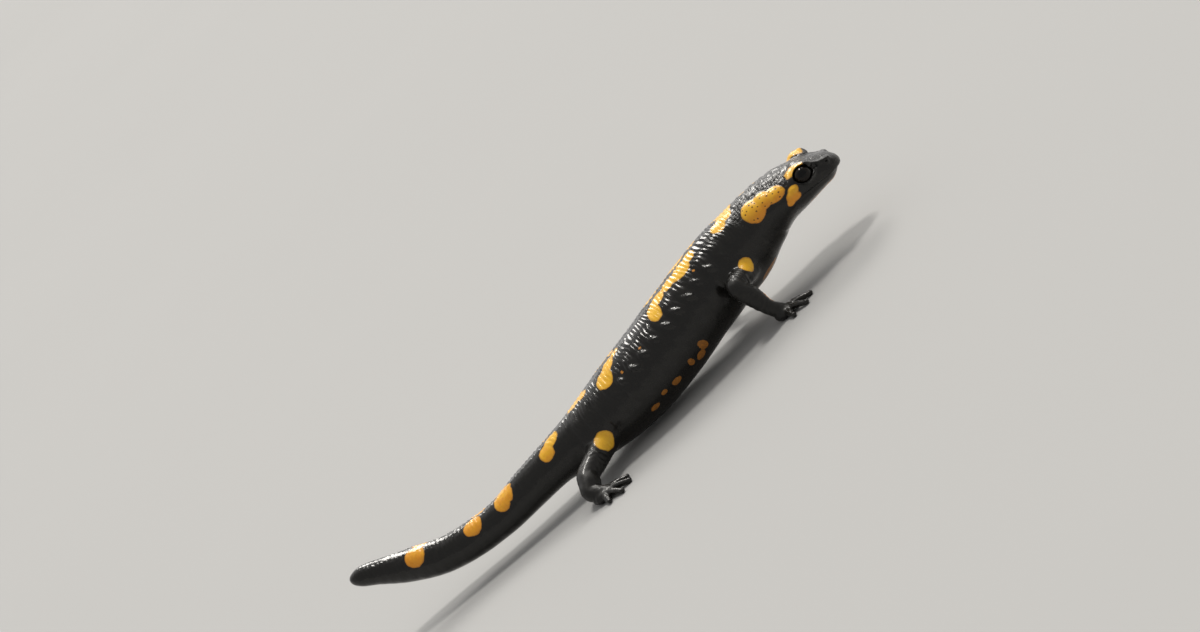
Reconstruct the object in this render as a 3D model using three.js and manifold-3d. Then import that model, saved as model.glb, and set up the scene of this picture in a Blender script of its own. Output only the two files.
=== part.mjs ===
// A fire salamander standing on the floor: a still, life-size display model.
// Units are millimetres. +Z is up and +X is the way the animal faces, so its right
// side is towards -Y. The origin is at floor level, under the middle of its box.
//
// The flesh is one smooth body from snout to tail, with four legs set against it. It is
// divided where a person would name the parts, by gaps of PART_GAP, so that each part
// is a solid of its own.
import * as THREE from "three";
import { mergeVertices } from "three/addons/utils/BufferGeometryUtils.js";
import Module from "manifold-3d";

const wasm = await Module();
wasm.setup();

// ---------------------------------------------------------------- driving dimensions
const PART_GAP = 0.3; // kerf between neighbouring parts
const BODY_SIDES = 22; // facets round the body
const LIMB_SIDES = 12; // facets round a leg
const DIGIT_SIDES = 6; // facets round a finger or toe
const BODY_STEP = 4.4; // most between two rings of the body
const LIMB_STEP = 2.6; // most between two rings of a leg
const DIGIT_STEP = 3.2; // and of a finger or toe
const BALL_FACETS = 10; // facets round a ball
const BODY_END_RINGS = 5; // rings in each rounded end of the body
const DIGIT_END_RINGS = 3; // rings in the rounded end of a finger or toe
const BODY_SQUARENESS = 2.15; // 2 is an ellipse, more is boxier

const EYE_RADIUS = 2.5;
const EYE_STATION = "eye";
const EYE_OUT = 6.7; // sideways from the middle of the head to the middle of the eye
const EYE_AHEAD = 1.1; // ahead of that station
const EYE_UP = 2.7; // above the head's own middle line
const LID_THICKNESS = 0.7;
const LID_INSET = 0.75; // how far the lids' ball lies nearer to the middle than the eye

const MOUTH_FRONT = [82.0, 15.5]; // x and z of the mouth slit at the lips
const MOUTH_PITCH = THREE.MathUtils.degToRad(9); // the slit rises backwards by this

const GLAND_ROUND = THREE.MathUtils.degToRad(55); // the neck glands' place down the side
const GLAND_LOBES = [
  { x: 58.9, radius: 3.5, proud: 0.9 },
  { x: 64.4, radius: 2.8, proud: 0.7 },
];

const PALM_HEIGHT = 1.5; // middle of a palm or sole above the floor
const PALM_THICKNESS = 3.5;
const DIGIT_ROOT_RADIUS = 0.95;
const DIGIT_TIP_HEIGHT = 0.45;

// The body's middle line and its girth, from tail to snout: [x, y, z] of the middle,
// the full width, the height above the middle and the depth below it.
const BODY = {
  "tail tip": { at: [-85.2, 25.0, 21.1], wide: 4.0, rise: 2.1, drop: 2.0 },
  "tail end": { at: [-79.4, 22.3, 18.8], wide: 5.9, rise: 3.1, drop: 3.0 },
  "tail lift": { at: [-70.0, 17.4, 14.0], wide: 8.0, rise: 4.4, drop: 4.4 },
  "tail bend": { at: [-59.0, 11.8, 10.1], wide: 8.8, rise: 4.7, drop: 4.7 },
  "tail middle": { at: [-45.0, 6.2, 8.9], wide: 9.3, rise: 4.8, drop: 4.8 },
  "tail root": { at: [-32.0, 2.9, 10.0], wide: 10.8, rise: 5.5, drop: 5.5 },
  vent: { at: [-21.0, 0.8, 10.6], wide: 12.8, rise: 6.1, drop: 6.1 },
  hip: { at: [-10.5, -0.6, 10.1], wide: 17.6, rise: 8.2, drop: 8.2 },
  loin: { at: [1.5, -1.7, 10.5], wide: 21.6, rise: 10.0, drop: 9.8 },
  belly: { at: [14.0, -2.5, 11.9], wide: 23.2, rise: 10.5, drop: 10.4 },
  ribs: { at: [27.0, -2.5, 14.2], wide: 22.4, rise: 10.4, drop: 10.4 },
  chest: { at: [39.0, -2.1, 16.0], wide: 21.0, rise: 10.3, drop: 10.3 },
  shoulder: { at: [48.5, -1.5, 16.9], wide: 19.6, rise: 9.8, drop: 9.8 },
  neck: { at: [56.2, -1.3, 18.2], wide: 18.2, rise: 8.4, drop: 8.3 },
  "jaw angle": { at: [63.6, -2.0, 19.2], wide: 19.4, rise: 6.9, drop: 6.8 },
  eye: { at: [72.3, -3.5, 18.5], wide: 16.2, rise: 5.6, drop: 5.5 },
  nostril: { at: [78.8, -4.8, 17.1], wide: 11.2, rise: 3.7, drop: 3.7 },
  "snout tip": { at: [82.6, -5.6, 16.3], wide: 8.0, rise: 2.4, drop: 2.5 },
};

// Where the body is divided.
const LENGTHS = [
  { name: "tail_tip", from: "tail tip", to: "tail lift" },
  { name: "tail_middle", from: "tail lift", to: "tail middle" },
  { name: "tail_base", from: "tail middle", to: "vent" },
  { name: "trunk", from: "vent", to: "neck" },
  { name: "neck", from: "neck", to: "jaw angle" },
  { name: "head", from: "jaw angle", to: "snout tip" },
];

// Digits turn outwards from the foot's own heading by these angles, in degrees.
const FINGERS = [
  { turn: -38, length: 5.2 },
  { turn: -6, length: 7.6 },
  { turn: 26, length: 7.4 },
  { turn: 62, length: 5.4 },
];
const TOES = [
  { turn: -44, length: 4.8 },
  { turn: -16, length: 7.0 },
  { turn: 10, length: 8.2 },
  { turn: 36, length: 7.8 },
  { turn: 66, length: 5.4 },
];

// Each leg: its joints from inside the body down to the middle of the palm, as
// [x, distance out from the midline, z], and the heading of its foot, outwards from +X.
const FORE_GIRTH = { root: 5.8, bend: 5.3, shank: 5.1, ankle: 3.9, palm: 4.2 };
const HIND_GIRTH = { root: 7.0, bend: 5.8, shank: 5.8, ankle: 4.5, palm: 4.6 };
const LEGS = [
  {
    parts: ["upper_arm_right", "forearm_right", "hand_right"],
    side: -1,
    girth: FORE_GIRTH,
    palm: { long: 6.2, wide: 5.6, heading: 20 },
    digits: FINGERS,
    joints: { root: [48.8, 5.5, 13.4], bend: [40.3, 16.6, 14.0], ankle: [42.5, 18.8, 5.0], palm: [44.6, 19.2] },
  },
  {
    parts: ["upper_arm_left", "forearm_left", "hand_left"],
    side: 1,
    girth: FORE_GIRTH,
    palm: { long: 6.2, wide: 5.6, heading: 42 },
    digits: FINGERS,
    joints: { root: [47.5, 4.5, 13.0], bend: [37.6, 15.0, 13.2], ankle: [34.8, 18.9, 4.9], palm: [36.0, 20.4] },
  },
  {
    parts: ["thigh_right", "shin_right", "foot_right"],
    side: -1,
    girth: HIND_GIRTH,
    palm: { long: 6.8, wide: 6.4, heading: 24 },
    digits: TOES,
    joints: { root: [-7.6, 4.5, 7.9], bend: [-20.0, 14.2, 6.1], ankle: [-22.6, 19.0, 3.6], palm: [-20.6, 20.6] },
  },
  {
    parts: ["thigh_left", "shin_left", "foot_left"],
    side: 1,
    girth: HIND_GIRTH,
    palm: { long: 6.8, wide: 6.4, heading: 30 },
    digits: TOES,
    joints: { root: [-9.0, 4.0, 7.9], bend: [-2.0, 16.8, 8.4], ankle: [-1.6, 21.6, 4.2], palm: [0.8, 22.6] },
  },
];

const SKIN = { color: 0x141311, roughness: 0.3, metalness: 0 };
const EYE = { color: 0x070605, roughness: 0.06, metalness: 0 };

const WORLD_UP = new THREE.Vector3(0, 0, 1);
const FORWARD = new THREE.Vector3(1, 0, 0);
const FAR = 200; // larger than the whole animal

// ------------------------------------------------------------------------ solid tools

// A closed geometry as a manifold-3d solid.
function solidOf(geometry) {
  const bare = geometry.clone();
  bare.deleteAttribute("normal");
  bare.deleteAttribute("uv");
  const merged = mergeVertices(bare, 1e-4);
  const mesh = new wasm.Mesh({
    numProp: 3,
    vertProperties: merged.attributes.position.array,
    triVerts: new Uint32Array(merged.index.array),
  });
  return new wasm.Manifold(mesh);
}

// A geometry as a named mesh of the scene.
function named(name, geometry, finish) {
  const mesh = new THREE.Mesh(geometry, new THREE.MeshStandardMaterial(finish));
  mesh.name = name;
  return mesh;
}

// A manifold-3d solid as a named mesh of the scene.
function meshOf(name, solid, finish) {
  const { vertProperties, triVerts } = solid.getMesh();
  const geometry = new THREE.BufferGeometry();
  geometry.setAttribute("position", new THREE.BufferAttribute(vertProperties, 3));
  geometry.setIndex(new THREE.BufferAttribute(triVerts, 1));
  geometry.computeVertexNormals();
  return named(name, geometry, finish);
}

// A ball squeezed to the given half sizes and turned about +Z, with its middle at a point.
function ball(centre, halves, turn = 0) {
  const geometry = new THREE.SphereGeometry(1, BALL_FACETS, Math.ceil(BALL_FACETS * 0.6));
  geometry.rotateX(Math.PI / 2).scale(...halves).rotateZ(turn).translate(...centre);
  return solidOf(geometry);
}

// A very large box with one face on the plane through a point, on the normal's side of it.
function halfSpace(point, normal) {
  const geometry = new THREE.BoxGeometry(FAR, FAR, FAR).translate(0, 0, FAR / 2);
  geometry.applyQuaternion(new THREE.Quaternion().setFromUnitVectors(WORLD_UP, normal));
  return solidOf(geometry.translate(point.x, point.y, point.z));
}

// A bent form: a smooth middle line through points, with a smooth girth along it.
// girths holds a Vector3 of half width, rise and drop for each point.
class Form {
  constructor(points, girths, { squareness = 2, reference = WORLD_UP, roundEnds = [false, false], endRings = 5 } = {}) {
    this.line = new THREE.CatmullRomCurve3(points, false, "catmullrom", 0.5);
    this.girth = new THREE.CatmullRomCurve3(girths, false, "catmullrom", 0.5);
    this.spans = points.length - 1;
    Object.assign(this, { squareness, reference, roundEnds, endRings });
  }

  // A rounded end closes as a quarter of an ellipse over the last span of the form.
  closing(t) {
    const [start, end] = this.roundEnds;
    const intoStart = start ? Math.max(0, 1 - t * this.spans) : 0;
    const intoEnd = end ? Math.max(0, 1 - (1 - t) * this.spans) : 0;
    return Math.sqrt(Math.max(0, 1 - intoStart ** 2)) * Math.sqrt(Math.max(0, 1 - intoEnd ** 2));
  }

  // The section at t: its middle, its axes to the right and up, and its girth there.
  section(t) {
    const middle = this.line.getPoint(t);
    const ahead = this.line.getTangent(t);
    const right = new THREE.Vector3().crossVectors(ahead, this.reference).normalize();
    const up = new THREE.Vector3().crossVectors(right, ahead);
    const [half, rise, drop] = this.girth.getPoint(t).multiplyScalar(this.closing(t)).toArray();
    return { middle, ahead, right, up, half, rise, drop };
  }

  // Where the rings go between two places: evenly in each span, closer in a rounded end.
  rings(from, to, step) {
    const places = [];
    for (let span = Math.floor(from * this.spans + 1e-6); span < to * this.spans - 1e-6; span++) {
      const length = this.line.getPoint(span / this.spans).distanceTo(this.line.getPoint((span + 1) / this.spans));
      const atStart = this.roundEnds[0] && span === 0;
      const atEnd = this.roundEnds[1] && span === this.spans - 1;
      const count = atStart || atEnd ? this.endRings : Math.ceil(length / step);
      for (let i = 0; i < count; i++) {
        const share = i / count;
        const eased = atStart ? 1 - Math.cos((share * Math.PI) / 2) : atEnd ? Math.sin((share * Math.PI) / 2) : share;
        places.push((span + eased) / this.spans);
      }
    }
    return [from, ...places.filter((t) => t > from + 1e-3 && t < to - 1e-3), to];
  }

  // The closed solid between two places, as a cylinder whose rings are laid along the
  // form. grow makes it thicker all round.
  solid({ from = 0, to = 1, sides = LIMB_SIDES, step = LIMB_STEP, grow = 0 } = {}) {
    const ts = this.rings(from, to, step);
    const last = ts.length - 1;
    const least = 0.05; // half width of the flat that closes a rounded end
    const sections = ts.map((t) => this.section(t));
    const geometry = new THREE.CylinderGeometry(1, 1, 1, sides, last);
    const position = geometry.attributes.position;
    const point = new THREE.Vector3();
    for (let i = 0; i < position.count; i++) {
      point.fromBufferAttribute(position, i);
      const { middle, right, up, half, rise, drop } = sections[Math.round((point.y + 0.5) * last)];
      const outline = Math.abs(point.x) ** this.squareness + Math.abs(point.z) ** this.squareness;
      const boxed = outline > 1e-6 ? outline ** (-1 / this.squareness) : 0;
      const across = point.x * boxed * (Math.max(half, least) + grow);
      const height = point.z * boxed * (Math.max(point.z > 0 ? rise : drop, least) + grow);
      const placed = middle.clone().addScaledVector(right, across).addScaledVector(up, height);
      position.setXYZ(i, placed.x, placed.y, placed.z);
    }
    return solidOf(geometry);
  }

  // All the space behind, or ahead of, the cut across the form at t.
  before(t) {
    const { middle, ahead } = this.section(t);
    return halfSpace(middle.addScaledVector(ahead, -PART_GAP / 2), ahead.negate());
  }

  after(t) {
    const { middle, ahead } = this.section(t);
    return halfSpace(middle.addScaledVector(ahead, PART_GAP / 2), ahead);
  }
}

const ABOVE_FLOOR = halfSpace(new THREE.Vector3(), WORLD_UP);

// --------------------------------------------------------------------------- the body
const stationNames = Object.keys(BODY);
const stationPlace = (name) => stationNames.indexOf(name) / (stationNames.length - 1);

const body = new Form(
  Object.values(BODY).map(({ at }) => new THREE.Vector3(...at)),
  Object.values(BODY).map(({ wide, rise, drop }) => new THREE.Vector3(wide / 2, rise, drop)),
  { squareness: BODY_SQUARENESS, roundEnds: [true, true], endRings: BODY_END_RINGS },
);

// The body's own place t at a distance x along the floor.
function placeAt(x) {
  let [low, high] = [0, 1];
  for (let i = 0; i < 30; i++) {
    const middle = (low + high) / 2;
    if (body.line.getPoint(middle).x < x) low = middle;
    else high = middle;
  }
  return low;
}

// The eyes' middles, right then left.
function eyeCentre(side) {
  const { middle, ahead, right, up } = body.section(stationPlace(EYE_STATION));
  const out = middle.clone().addScaledVector(right, side * EYE_OUT);
  return out.addScaledVector(ahead, EYE_AHEAD).addScaledVector(up, EYE_UP);
}

// The lids: a ball round the eye, nearer to the middle, so that the eye looks out of it.
function lids(side) {
  const { right } = body.section(stationPlace(EYE_STATION));
  const centre = eyeCentre(side).addScaledVector(right, -side * LID_INSET);
  const radius = EYE_RADIUS + LID_THICKNESS;
  return ball(centre.toArray(), [radius * 1.12, radius, radius]);
}

// The swollen gland behind each eye: two lobes that stand a little proud of the neck.
function neckGland(side) {
  const lobes = GLAND_LOBES.map(({ x, radius, proud }) => {
    const { middle, right, up, half, rise } = body.section(placeAt(x));
    const centre = middle
      .clone()
      .addScaledVector(right, side * Math.sin(GLAND_ROUND) * (half + proud - radius))
      .addScaledVector(up, Math.cos(GLAND_ROUND) * (rise + proud - radius));
    return ball(centre.toArray(), [radius * 1.1, radius, radius]);
  });
  return lobes[0].add(lobes[1]);
}

// ------------------------------------------------------------------------------- legs

// The leg's form, from inside the body down to the middle of the palm.
function legForm({ side, girth, joints }) {
  const across = ([x, out, z = PALM_HEIGHT]) => new THREE.Vector3(x, side * out, z);
  const [root, bend, ankle, palm] = [joints.root, joints.bend, joints.ankle, joints.palm].map(across);
  const thick = (name) => new THREE.Vector3(girth[name], girth[name], girth[name]).multiplyScalar(0.5);
  return new Form(
    [root, root.clone().lerp(bend, 0.6), bend, bend.clone().lerp(ankle, 0.5), ankle, palm],
    [thick("root"), thick("root").lerp(thick("bend"), 0.6), thick("bend"), thick("shank"), thick("ankle"), thick("palm")],
    { reference: FORWARD },
  );
}

const BEND_PLACE = 2 / 5; // the elbow or knee on a leg's form
const ANKLE_PLACE = 4 / 5; // the wrist or ankle

// One finger or toe: it leaves the palm, arches a little and comes down on its tip.
function digit(palmCentre, heading, length) {
  const way = new THREE.Vector3(Math.cos(heading), Math.sin(heading), 0);
  const along = (share, height) => palmCentre.clone().addScaledVector(way, share * length).setZ(height);
  const reach = [along(0.12, 1.3), along(0.5, 1.35), along(0.82, 0.7), along(1, DIGIT_TIP_HEIGHT)];
  const girths = [1, 0.95, 0.8, 0.75].map((share) => share * DIGIT_ROOT_RADIUS);
  const form = new Form(reach, girths.map((r) => new THREE.Vector3(r, r, r)), {
    roundEnds: [false, true],
    endRings: DIGIT_END_RINGS,
  });
  return form.solid({ sides: DIGIT_SIDES, step: DIGIT_STEP });
}

// Palm or sole, digits and the end of the shank.
function foot({ side, palm, digits, joints }, form) {
  const centre = new THREE.Vector3(joints.palm[0], side * joints.palm[1], PALM_HEIGHT);
  const heading = side * THREE.MathUtils.degToRad(palm.heading);
  const pad = ball(centre.toArray(), [palm.long / 2, palm.wide / 2, PALM_THICKNESS / 2], heading);
  const reach = palm.long / 2;
  return digits.reduce(
    (made, { turn, length }) =>
      made.add(digit(centre, heading + side * THREE.MathUtils.degToRad(turn), reach * 0.45 + length)),
    pad.add(form.solid({ from: ANKLE_PLACE })),
  );
}

// The leg's three parts, divided across the bend and the ankle. The top one butts
// against the body with a gap, and the foot is trimmed flat where it stands.
function legParts(leg, against) {
  const form = legForm(leg);
  const [upperName, lowerName, footName] = leg.parts;
  const upper = form.solid({ to: BEND_PLACE }).intersect(form.before(BEND_PLACE));
  const lower = form.solid({ from: BEND_PLACE, to: ANKLE_PLACE });
  const shank = lower.intersect(form.after(BEND_PLACE)).intersect(form.before(ANKLE_PLACE));
  const standing = foot(leg, form).intersect(form.after(ANKLE_PLACE)).intersect(ABOVE_FLOOR);
  return [
    meshOf(upperName, upper.subtract(against), SKIN),
    meshOf(lowerName, shank.subtract(against), SKIN),
    meshOf(footName, standing, SKIN),
  ];
}

// --------------------------------------------------------------------------- assembly
const salamander = new THREE.Group();

const sides = [
  { name: "right", side: 1 },
  { name: "left", side: -1 },
];
const features = sides.map(({ side }) => lids(side).add(neckGland(side))).reduce((a, b) => a.add(b));
const eyeRooms = sides
  .map(({ side }) => ball(eyeCentre(side).toArray(), Array(3).fill(EYE_RADIUS + PART_GAP)))
  .reduce((a, b) => a.add(b));

const mouthUp = new THREE.Vector3(Math.sin(MOUTH_PITCH), 0, Math.cos(MOUTH_PITCH));
const mouthPoint = new THREE.Vector3(MOUTH_FRONT[0], 0, MOUTH_FRONT[1]);

// All the space on one side of the mouth slit.
function offMouth(way) {
  return halfSpace(mouthPoint.clone().addScaledVector(mouthUp, (way * PART_GAP) / 2), mouthUp.clone().multiplyScalar(way));
}

// The body from snout to tail, then each length of it between its two cuts.
const flesh = body.solid({ sides: BODY_SIDES, step: BODY_STEP }).add(features).subtract(eyeRooms);
for (const { name, from, to } of LENGTHS) {
  let part = flesh;
  if (stationPlace(from) > 0) part = part.intersect(body.after(stationPlace(from)));
  if (stationPlace(to) < 1) part = part.intersect(body.before(stationPlace(to)));
  if (name === "head") {
    salamander.add(meshOf("head", part.intersect(offMouth(1)), SKIN));
    salamander.add(meshOf("lower_jaw", part.intersect(offMouth(-1)), SKIN));
  } else {
    salamander.add(meshOf(name, part, SKIN));
  }
}

for (const { name, side } of sides) {
  const eye = named(`eye_${name}`, new THREE.SphereGeometry(EYE_RADIUS, 16, 11).rotateX(Math.PI / 2), EYE);
  eye.position.copy(eyeCentre(side));
  salamander.add(eye);
}

const againstBody = body.solid({ sides: BODY_SIDES, step: BODY_STEP, grow: PART_GAP });
for (const leg of LEGS) salamander.add(...legParts(leg, againstBody));

// The middle of the whole box is brought over the origin.
const middle = new THREE.Box3().setFromObject(salamander).getCenter(new THREE.Vector3());
salamander.position.set(-middle.x, -middle.y, 0);

export default salamander;
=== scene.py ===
"""The looks of a life-size fire salamander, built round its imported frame.

The flesh is one skin. It starts as smooth forms, each a numpy surface: the body carried
along a bent middle line, the four legs with their palms and digits, and a mound of lids
round each eye. These are joined, eased together where they meet, and cut for the eyes,
the mouth and the nostrils. The markings are distances over the skin, worked out from a
short list of patches, which the material turns into crisp edges.

Lengths in this file are millimetres, until a mesh is made in metres.
"""
import math

import bmesh
import bpy
import numpy as np
from mathutils import Matrix, Vector


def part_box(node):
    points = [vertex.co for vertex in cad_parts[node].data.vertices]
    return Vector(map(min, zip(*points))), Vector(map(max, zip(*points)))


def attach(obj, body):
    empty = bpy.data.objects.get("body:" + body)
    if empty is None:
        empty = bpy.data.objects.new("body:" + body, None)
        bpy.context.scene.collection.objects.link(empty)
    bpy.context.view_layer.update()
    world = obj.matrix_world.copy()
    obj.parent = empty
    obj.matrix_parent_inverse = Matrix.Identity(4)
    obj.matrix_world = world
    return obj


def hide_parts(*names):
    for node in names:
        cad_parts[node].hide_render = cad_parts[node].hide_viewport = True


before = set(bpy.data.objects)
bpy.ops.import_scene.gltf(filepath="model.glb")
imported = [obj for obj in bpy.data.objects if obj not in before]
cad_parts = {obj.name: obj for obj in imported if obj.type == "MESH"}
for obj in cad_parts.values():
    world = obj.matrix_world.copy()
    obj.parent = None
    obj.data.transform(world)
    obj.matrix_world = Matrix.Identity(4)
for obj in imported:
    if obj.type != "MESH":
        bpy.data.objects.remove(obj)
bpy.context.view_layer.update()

bl_info = {
    "name": "Fire Salamander",
    "version": (1, 0, 0),
    "blender": (4, 5, 0),
    "location": "View3D > Sidebar > Salamander",
    "description": "Builds a still, life-size fire salamander on a plain pale floor",
    "category": "Object",
}

MM = 0.001
UP = np.array([0.0, 0.0, 1.0])
FORWARD = np.array([1.0, 0.0, 0.0])
RIGHT, LEFT = 1, -1

# The body's middle line and girth, from tail to snout, as the frame's solids have them:
# x, y and z of the middle, the full width, the height above the middle and the depth below.
STATIONS = {
    "tail tip": (-85.2, 25.0, 21.1, 4.0, 2.1, 2.0),
    "tail end": (-79.4, 22.3, 18.8, 5.9, 3.1, 3.0),
    "tail lift": (-70.0, 17.4, 14.0, 8.0, 4.4, 4.4),
    "tail bend": (-59.0, 11.8, 10.1, 8.8, 4.7, 4.7),
    "tail middle": (-45.0, 6.2, 8.9, 9.3, 4.8, 4.8),
    "tail root": (-32.0, 2.9, 10.0, 10.8, 5.5, 5.5),
    "vent": (-21.0, 0.8, 10.6, 12.8, 6.1, 6.1),
    "hip": (-10.5, -0.6, 10.1, 17.6, 8.2, 8.2),
    "loin": (1.5, -1.7, 10.5, 21.6, 10.0, 9.8),
    "belly": (14.0, -2.5, 11.9, 23.2, 10.5, 10.4),
    "ribs": (27.0, -2.5, 14.2, 22.4, 10.4, 10.4),
    "chest": (39.0, -2.1, 16.0, 21.0, 10.3, 10.3),
    "shoulder": (48.5, -1.5, 16.9, 19.6, 9.8, 9.8),
    "neck": (56.2, -1.3, 18.2, 18.2, 8.4, 8.3),
    "jaw angle": (63.6, -2.0, 19.2, 19.4, 6.9, 6.8),
    "eye": (72.3, -3.5, 18.5, 16.2, 5.6, 5.5),
    "nostril": (78.8, -4.8, 17.1, 11.2, 3.7, 3.7),
    "snout tip": (82.6, -5.6, 16.3, 8.0, 2.4, 2.5),
}
SQUARENESS = 2.15

# The x of places along the body, and the spacing of the skin's rings there.
RING_SPACING = ((-86, -30, -15, 50, 58, 84), (0.38, 0.34, 0.26, 0.26, 0.20, 0.18))

# The eyes, set from the section at the eye station.
EYE_OUT, EYE_AHEAD, EYE_UP = 6.7, 1.1, 2.7
EYE_RADIUS = 2.5
# How far the cornea swells, as a share, over what angle, and how far the eye is shrunk.
EYE_SWELL, EYE_SWELL_ANGLE, EYE_SLACK = 0.035, 0.62, 0.05
LID_THICKNESS, LID_INSET = 0.7, 0.75
LID_EDGE_RADIUS = 2.9  # turns an angle from the eye's axis into a length over the lids
EYE_ROOM_GAP, EYE_ROOM_REACH = 0.06, 4.6  # round the eye, and out between the lids

# The mouth slit: x and z at the lips, how far it rises backwards, the x of its corners,
# and the depth and half height of the slit.
MOUTH_FRONT = (82.0, 15.5)
MOUTH_PITCH = math.radians(9)
MOUTH_CORNER = 69.6
SLIT_DEPTH, SLIT_HALF = 1.1, 0.07

# Other places: the nostrils, by x and degrees down from the back's middle, the fold across
# the throat, by x and how far its middle bows forwards, and the vent's x.
NOSTRIL_X, NOSTRIL_DOWN = 79.7, 52
THROAT_X, THROAT_BOW = 57.8, 2.4
VENT_X = -20

# The flank: the x of the first groove's middle, how far round from the back's middle the
# row of glands lies, and the spacing of the beads along the back.
GROOVE_START = 8.7
GLAND_ROW = 11.2
BEAD_SPACING = 1.5

# What the camera looks at, and the lights: the way to each, the warmth of the lamps, and
# the way to the middle of the glow in the sky.
LOOK_AT = (10.64, 0.0, 29.95)
TO_KEY, TO_RIM, TO_FORE = (0.22, 0.28, 0.93), (0.15, 0.79, 0.61), (0.62, 0.42, 0.66)
TO_GLOW, GLOW_EDGES = (0.12, 0.86, 0.48), (0.3, 0.95)
LAMP_COLOUR, SKY_COLOUR = (1.0, 0.965, 0.91), (1.0, 0.985, 0.965, 1)
FLOOR_HALF = 8.0

# The lobes of the swollen gland behind each eye: x, degrees down from the back's middle,
# half the length, half the height, and how proud.
GLAND_LOBES = (
    (58.3, 56, 3.6, 3.6, 0.95),
    (61.8, 54, 2.7, 2.8, 0.75),
    (64.9, 60, 3.0, 2.5, 0.85),
)

# The side of the head, in millimetres ahead of the eye's middle and over it, as seen from
# LOOK_DOWN above level: the bright band over the eye, by its ends, its middle line and
# half its height; the crest that runs from it round the snout; the crease under that
# crest; and the lower lid's front corner.
LOOK_DOWN = math.radians(13.5)
BROW_ENDS = (-3.7, 1.9)
BROW = (
    (-3.5, -2.4, -1.1, 0.0, 0.9, 1.8),
    (2.65, 2.6, 2.8, 2.97, 2.8, 2.4),
    (0.75, 1.0, 0.87, 0.6, 0.42, 0.2),
)
CREST = ((0.4, 1.2, 2.3, 3.6, 5.1, 6.4, 8.0, 8.8), (3.1, 2.9, 1.86, 0.6, -0.5, -0.93, -1.25, -2.0))
CREASE = ((1.6, 2.5, 3.2, 4.6), (1.9, 0.78, 0.0, -1.0))
LOWER_LID = ((1.0, 2.0, 2.5, 3.6, 4.6), (-2.45, -2.2, -1.8, -1.2, -1.0))

# The palms' height and half thickness, where on a palm its digits start, and their middle
# line: share of the length, and height. Then the digits' spread in degrees and length.
PALM_HEIGHT, PALM_HALF, DIGIT_START = 1.5, 1.75, 0.225
DIGIT_LINE = ((0.0, 1.5), (0.45, 1.45), (0.8, 0.78), (0.97, 0.58))
FINGERS = ((-38, 5.2), (-6, 7.6), (26, 7.4), (62, 5.4))
TOES = ((-44, 4.8), (-16, 7.0), (10, 8.2), (36, 7.8), (66, 5.4))
FORE = {"digits": FINGERS, "girth": (5.8, 5.3, 5.1, 3.9, 4.2), "palm": (6.2, 5.6)}
HIND = {"digits": TOES, "girth": (7.0, 5.8, 5.8, 4.5, 4.6), "palm": (6.8, 6.4)}
# Each leg: its kind, side, heading, and its joints as x, distance out and z.
LEGS = {
    "right_fore": (
        *(FORE, RIGHT, 20),
        ((48.8, 5.5, 13.4), (40.3, 16.6, 14.0), (42.5, 18.8, 5.0), (44.6, 19.2, 1.5)),
    ),
    "left_fore": (
        *(FORE, LEFT, 42),
        ((47.5, 4.5, 13.0), (37.6, 15.0, 13.2), (34.8, 18.9, 4.9), (36.0, 20.4, 1.5)),
    ),
    "right_hind": (
        *(HIND, RIGHT, 24),
        ((-7.6, 4.5, 7.9), (-20.0, 14.2, 6.1), (-22.6, 19.0, 3.6), (-20.6, 20.6, 1.5)),
    ),
    "left_hind": (
        *(HIND, LEFT, 30),
        ((-9.0, 4.0, 7.9), (-2.0, 16.8, 8.4), (-1.6, 21.6, 4.2), (0.8, 22.6, 1.5)),
    ),
}

# The swollen spot behind the mouth's corner, in rows like those of the patches; its warmth rises
# downwards, partly as painted shade.
JAW_SPOT = (
    (69.4, 76, 1.45, 1.40, 0, 0.10),
    (68.1, 84, 1.05, 1.05, 0, 0.22),
    (69.2, 94, 1.20, 1.20, 0, 0.38),
    (67.0, 97, 1.10, 1.10, 0, 0.40),
    (68.2, 89, 1.30, 1.30, 0, 0.28),
)
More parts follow.
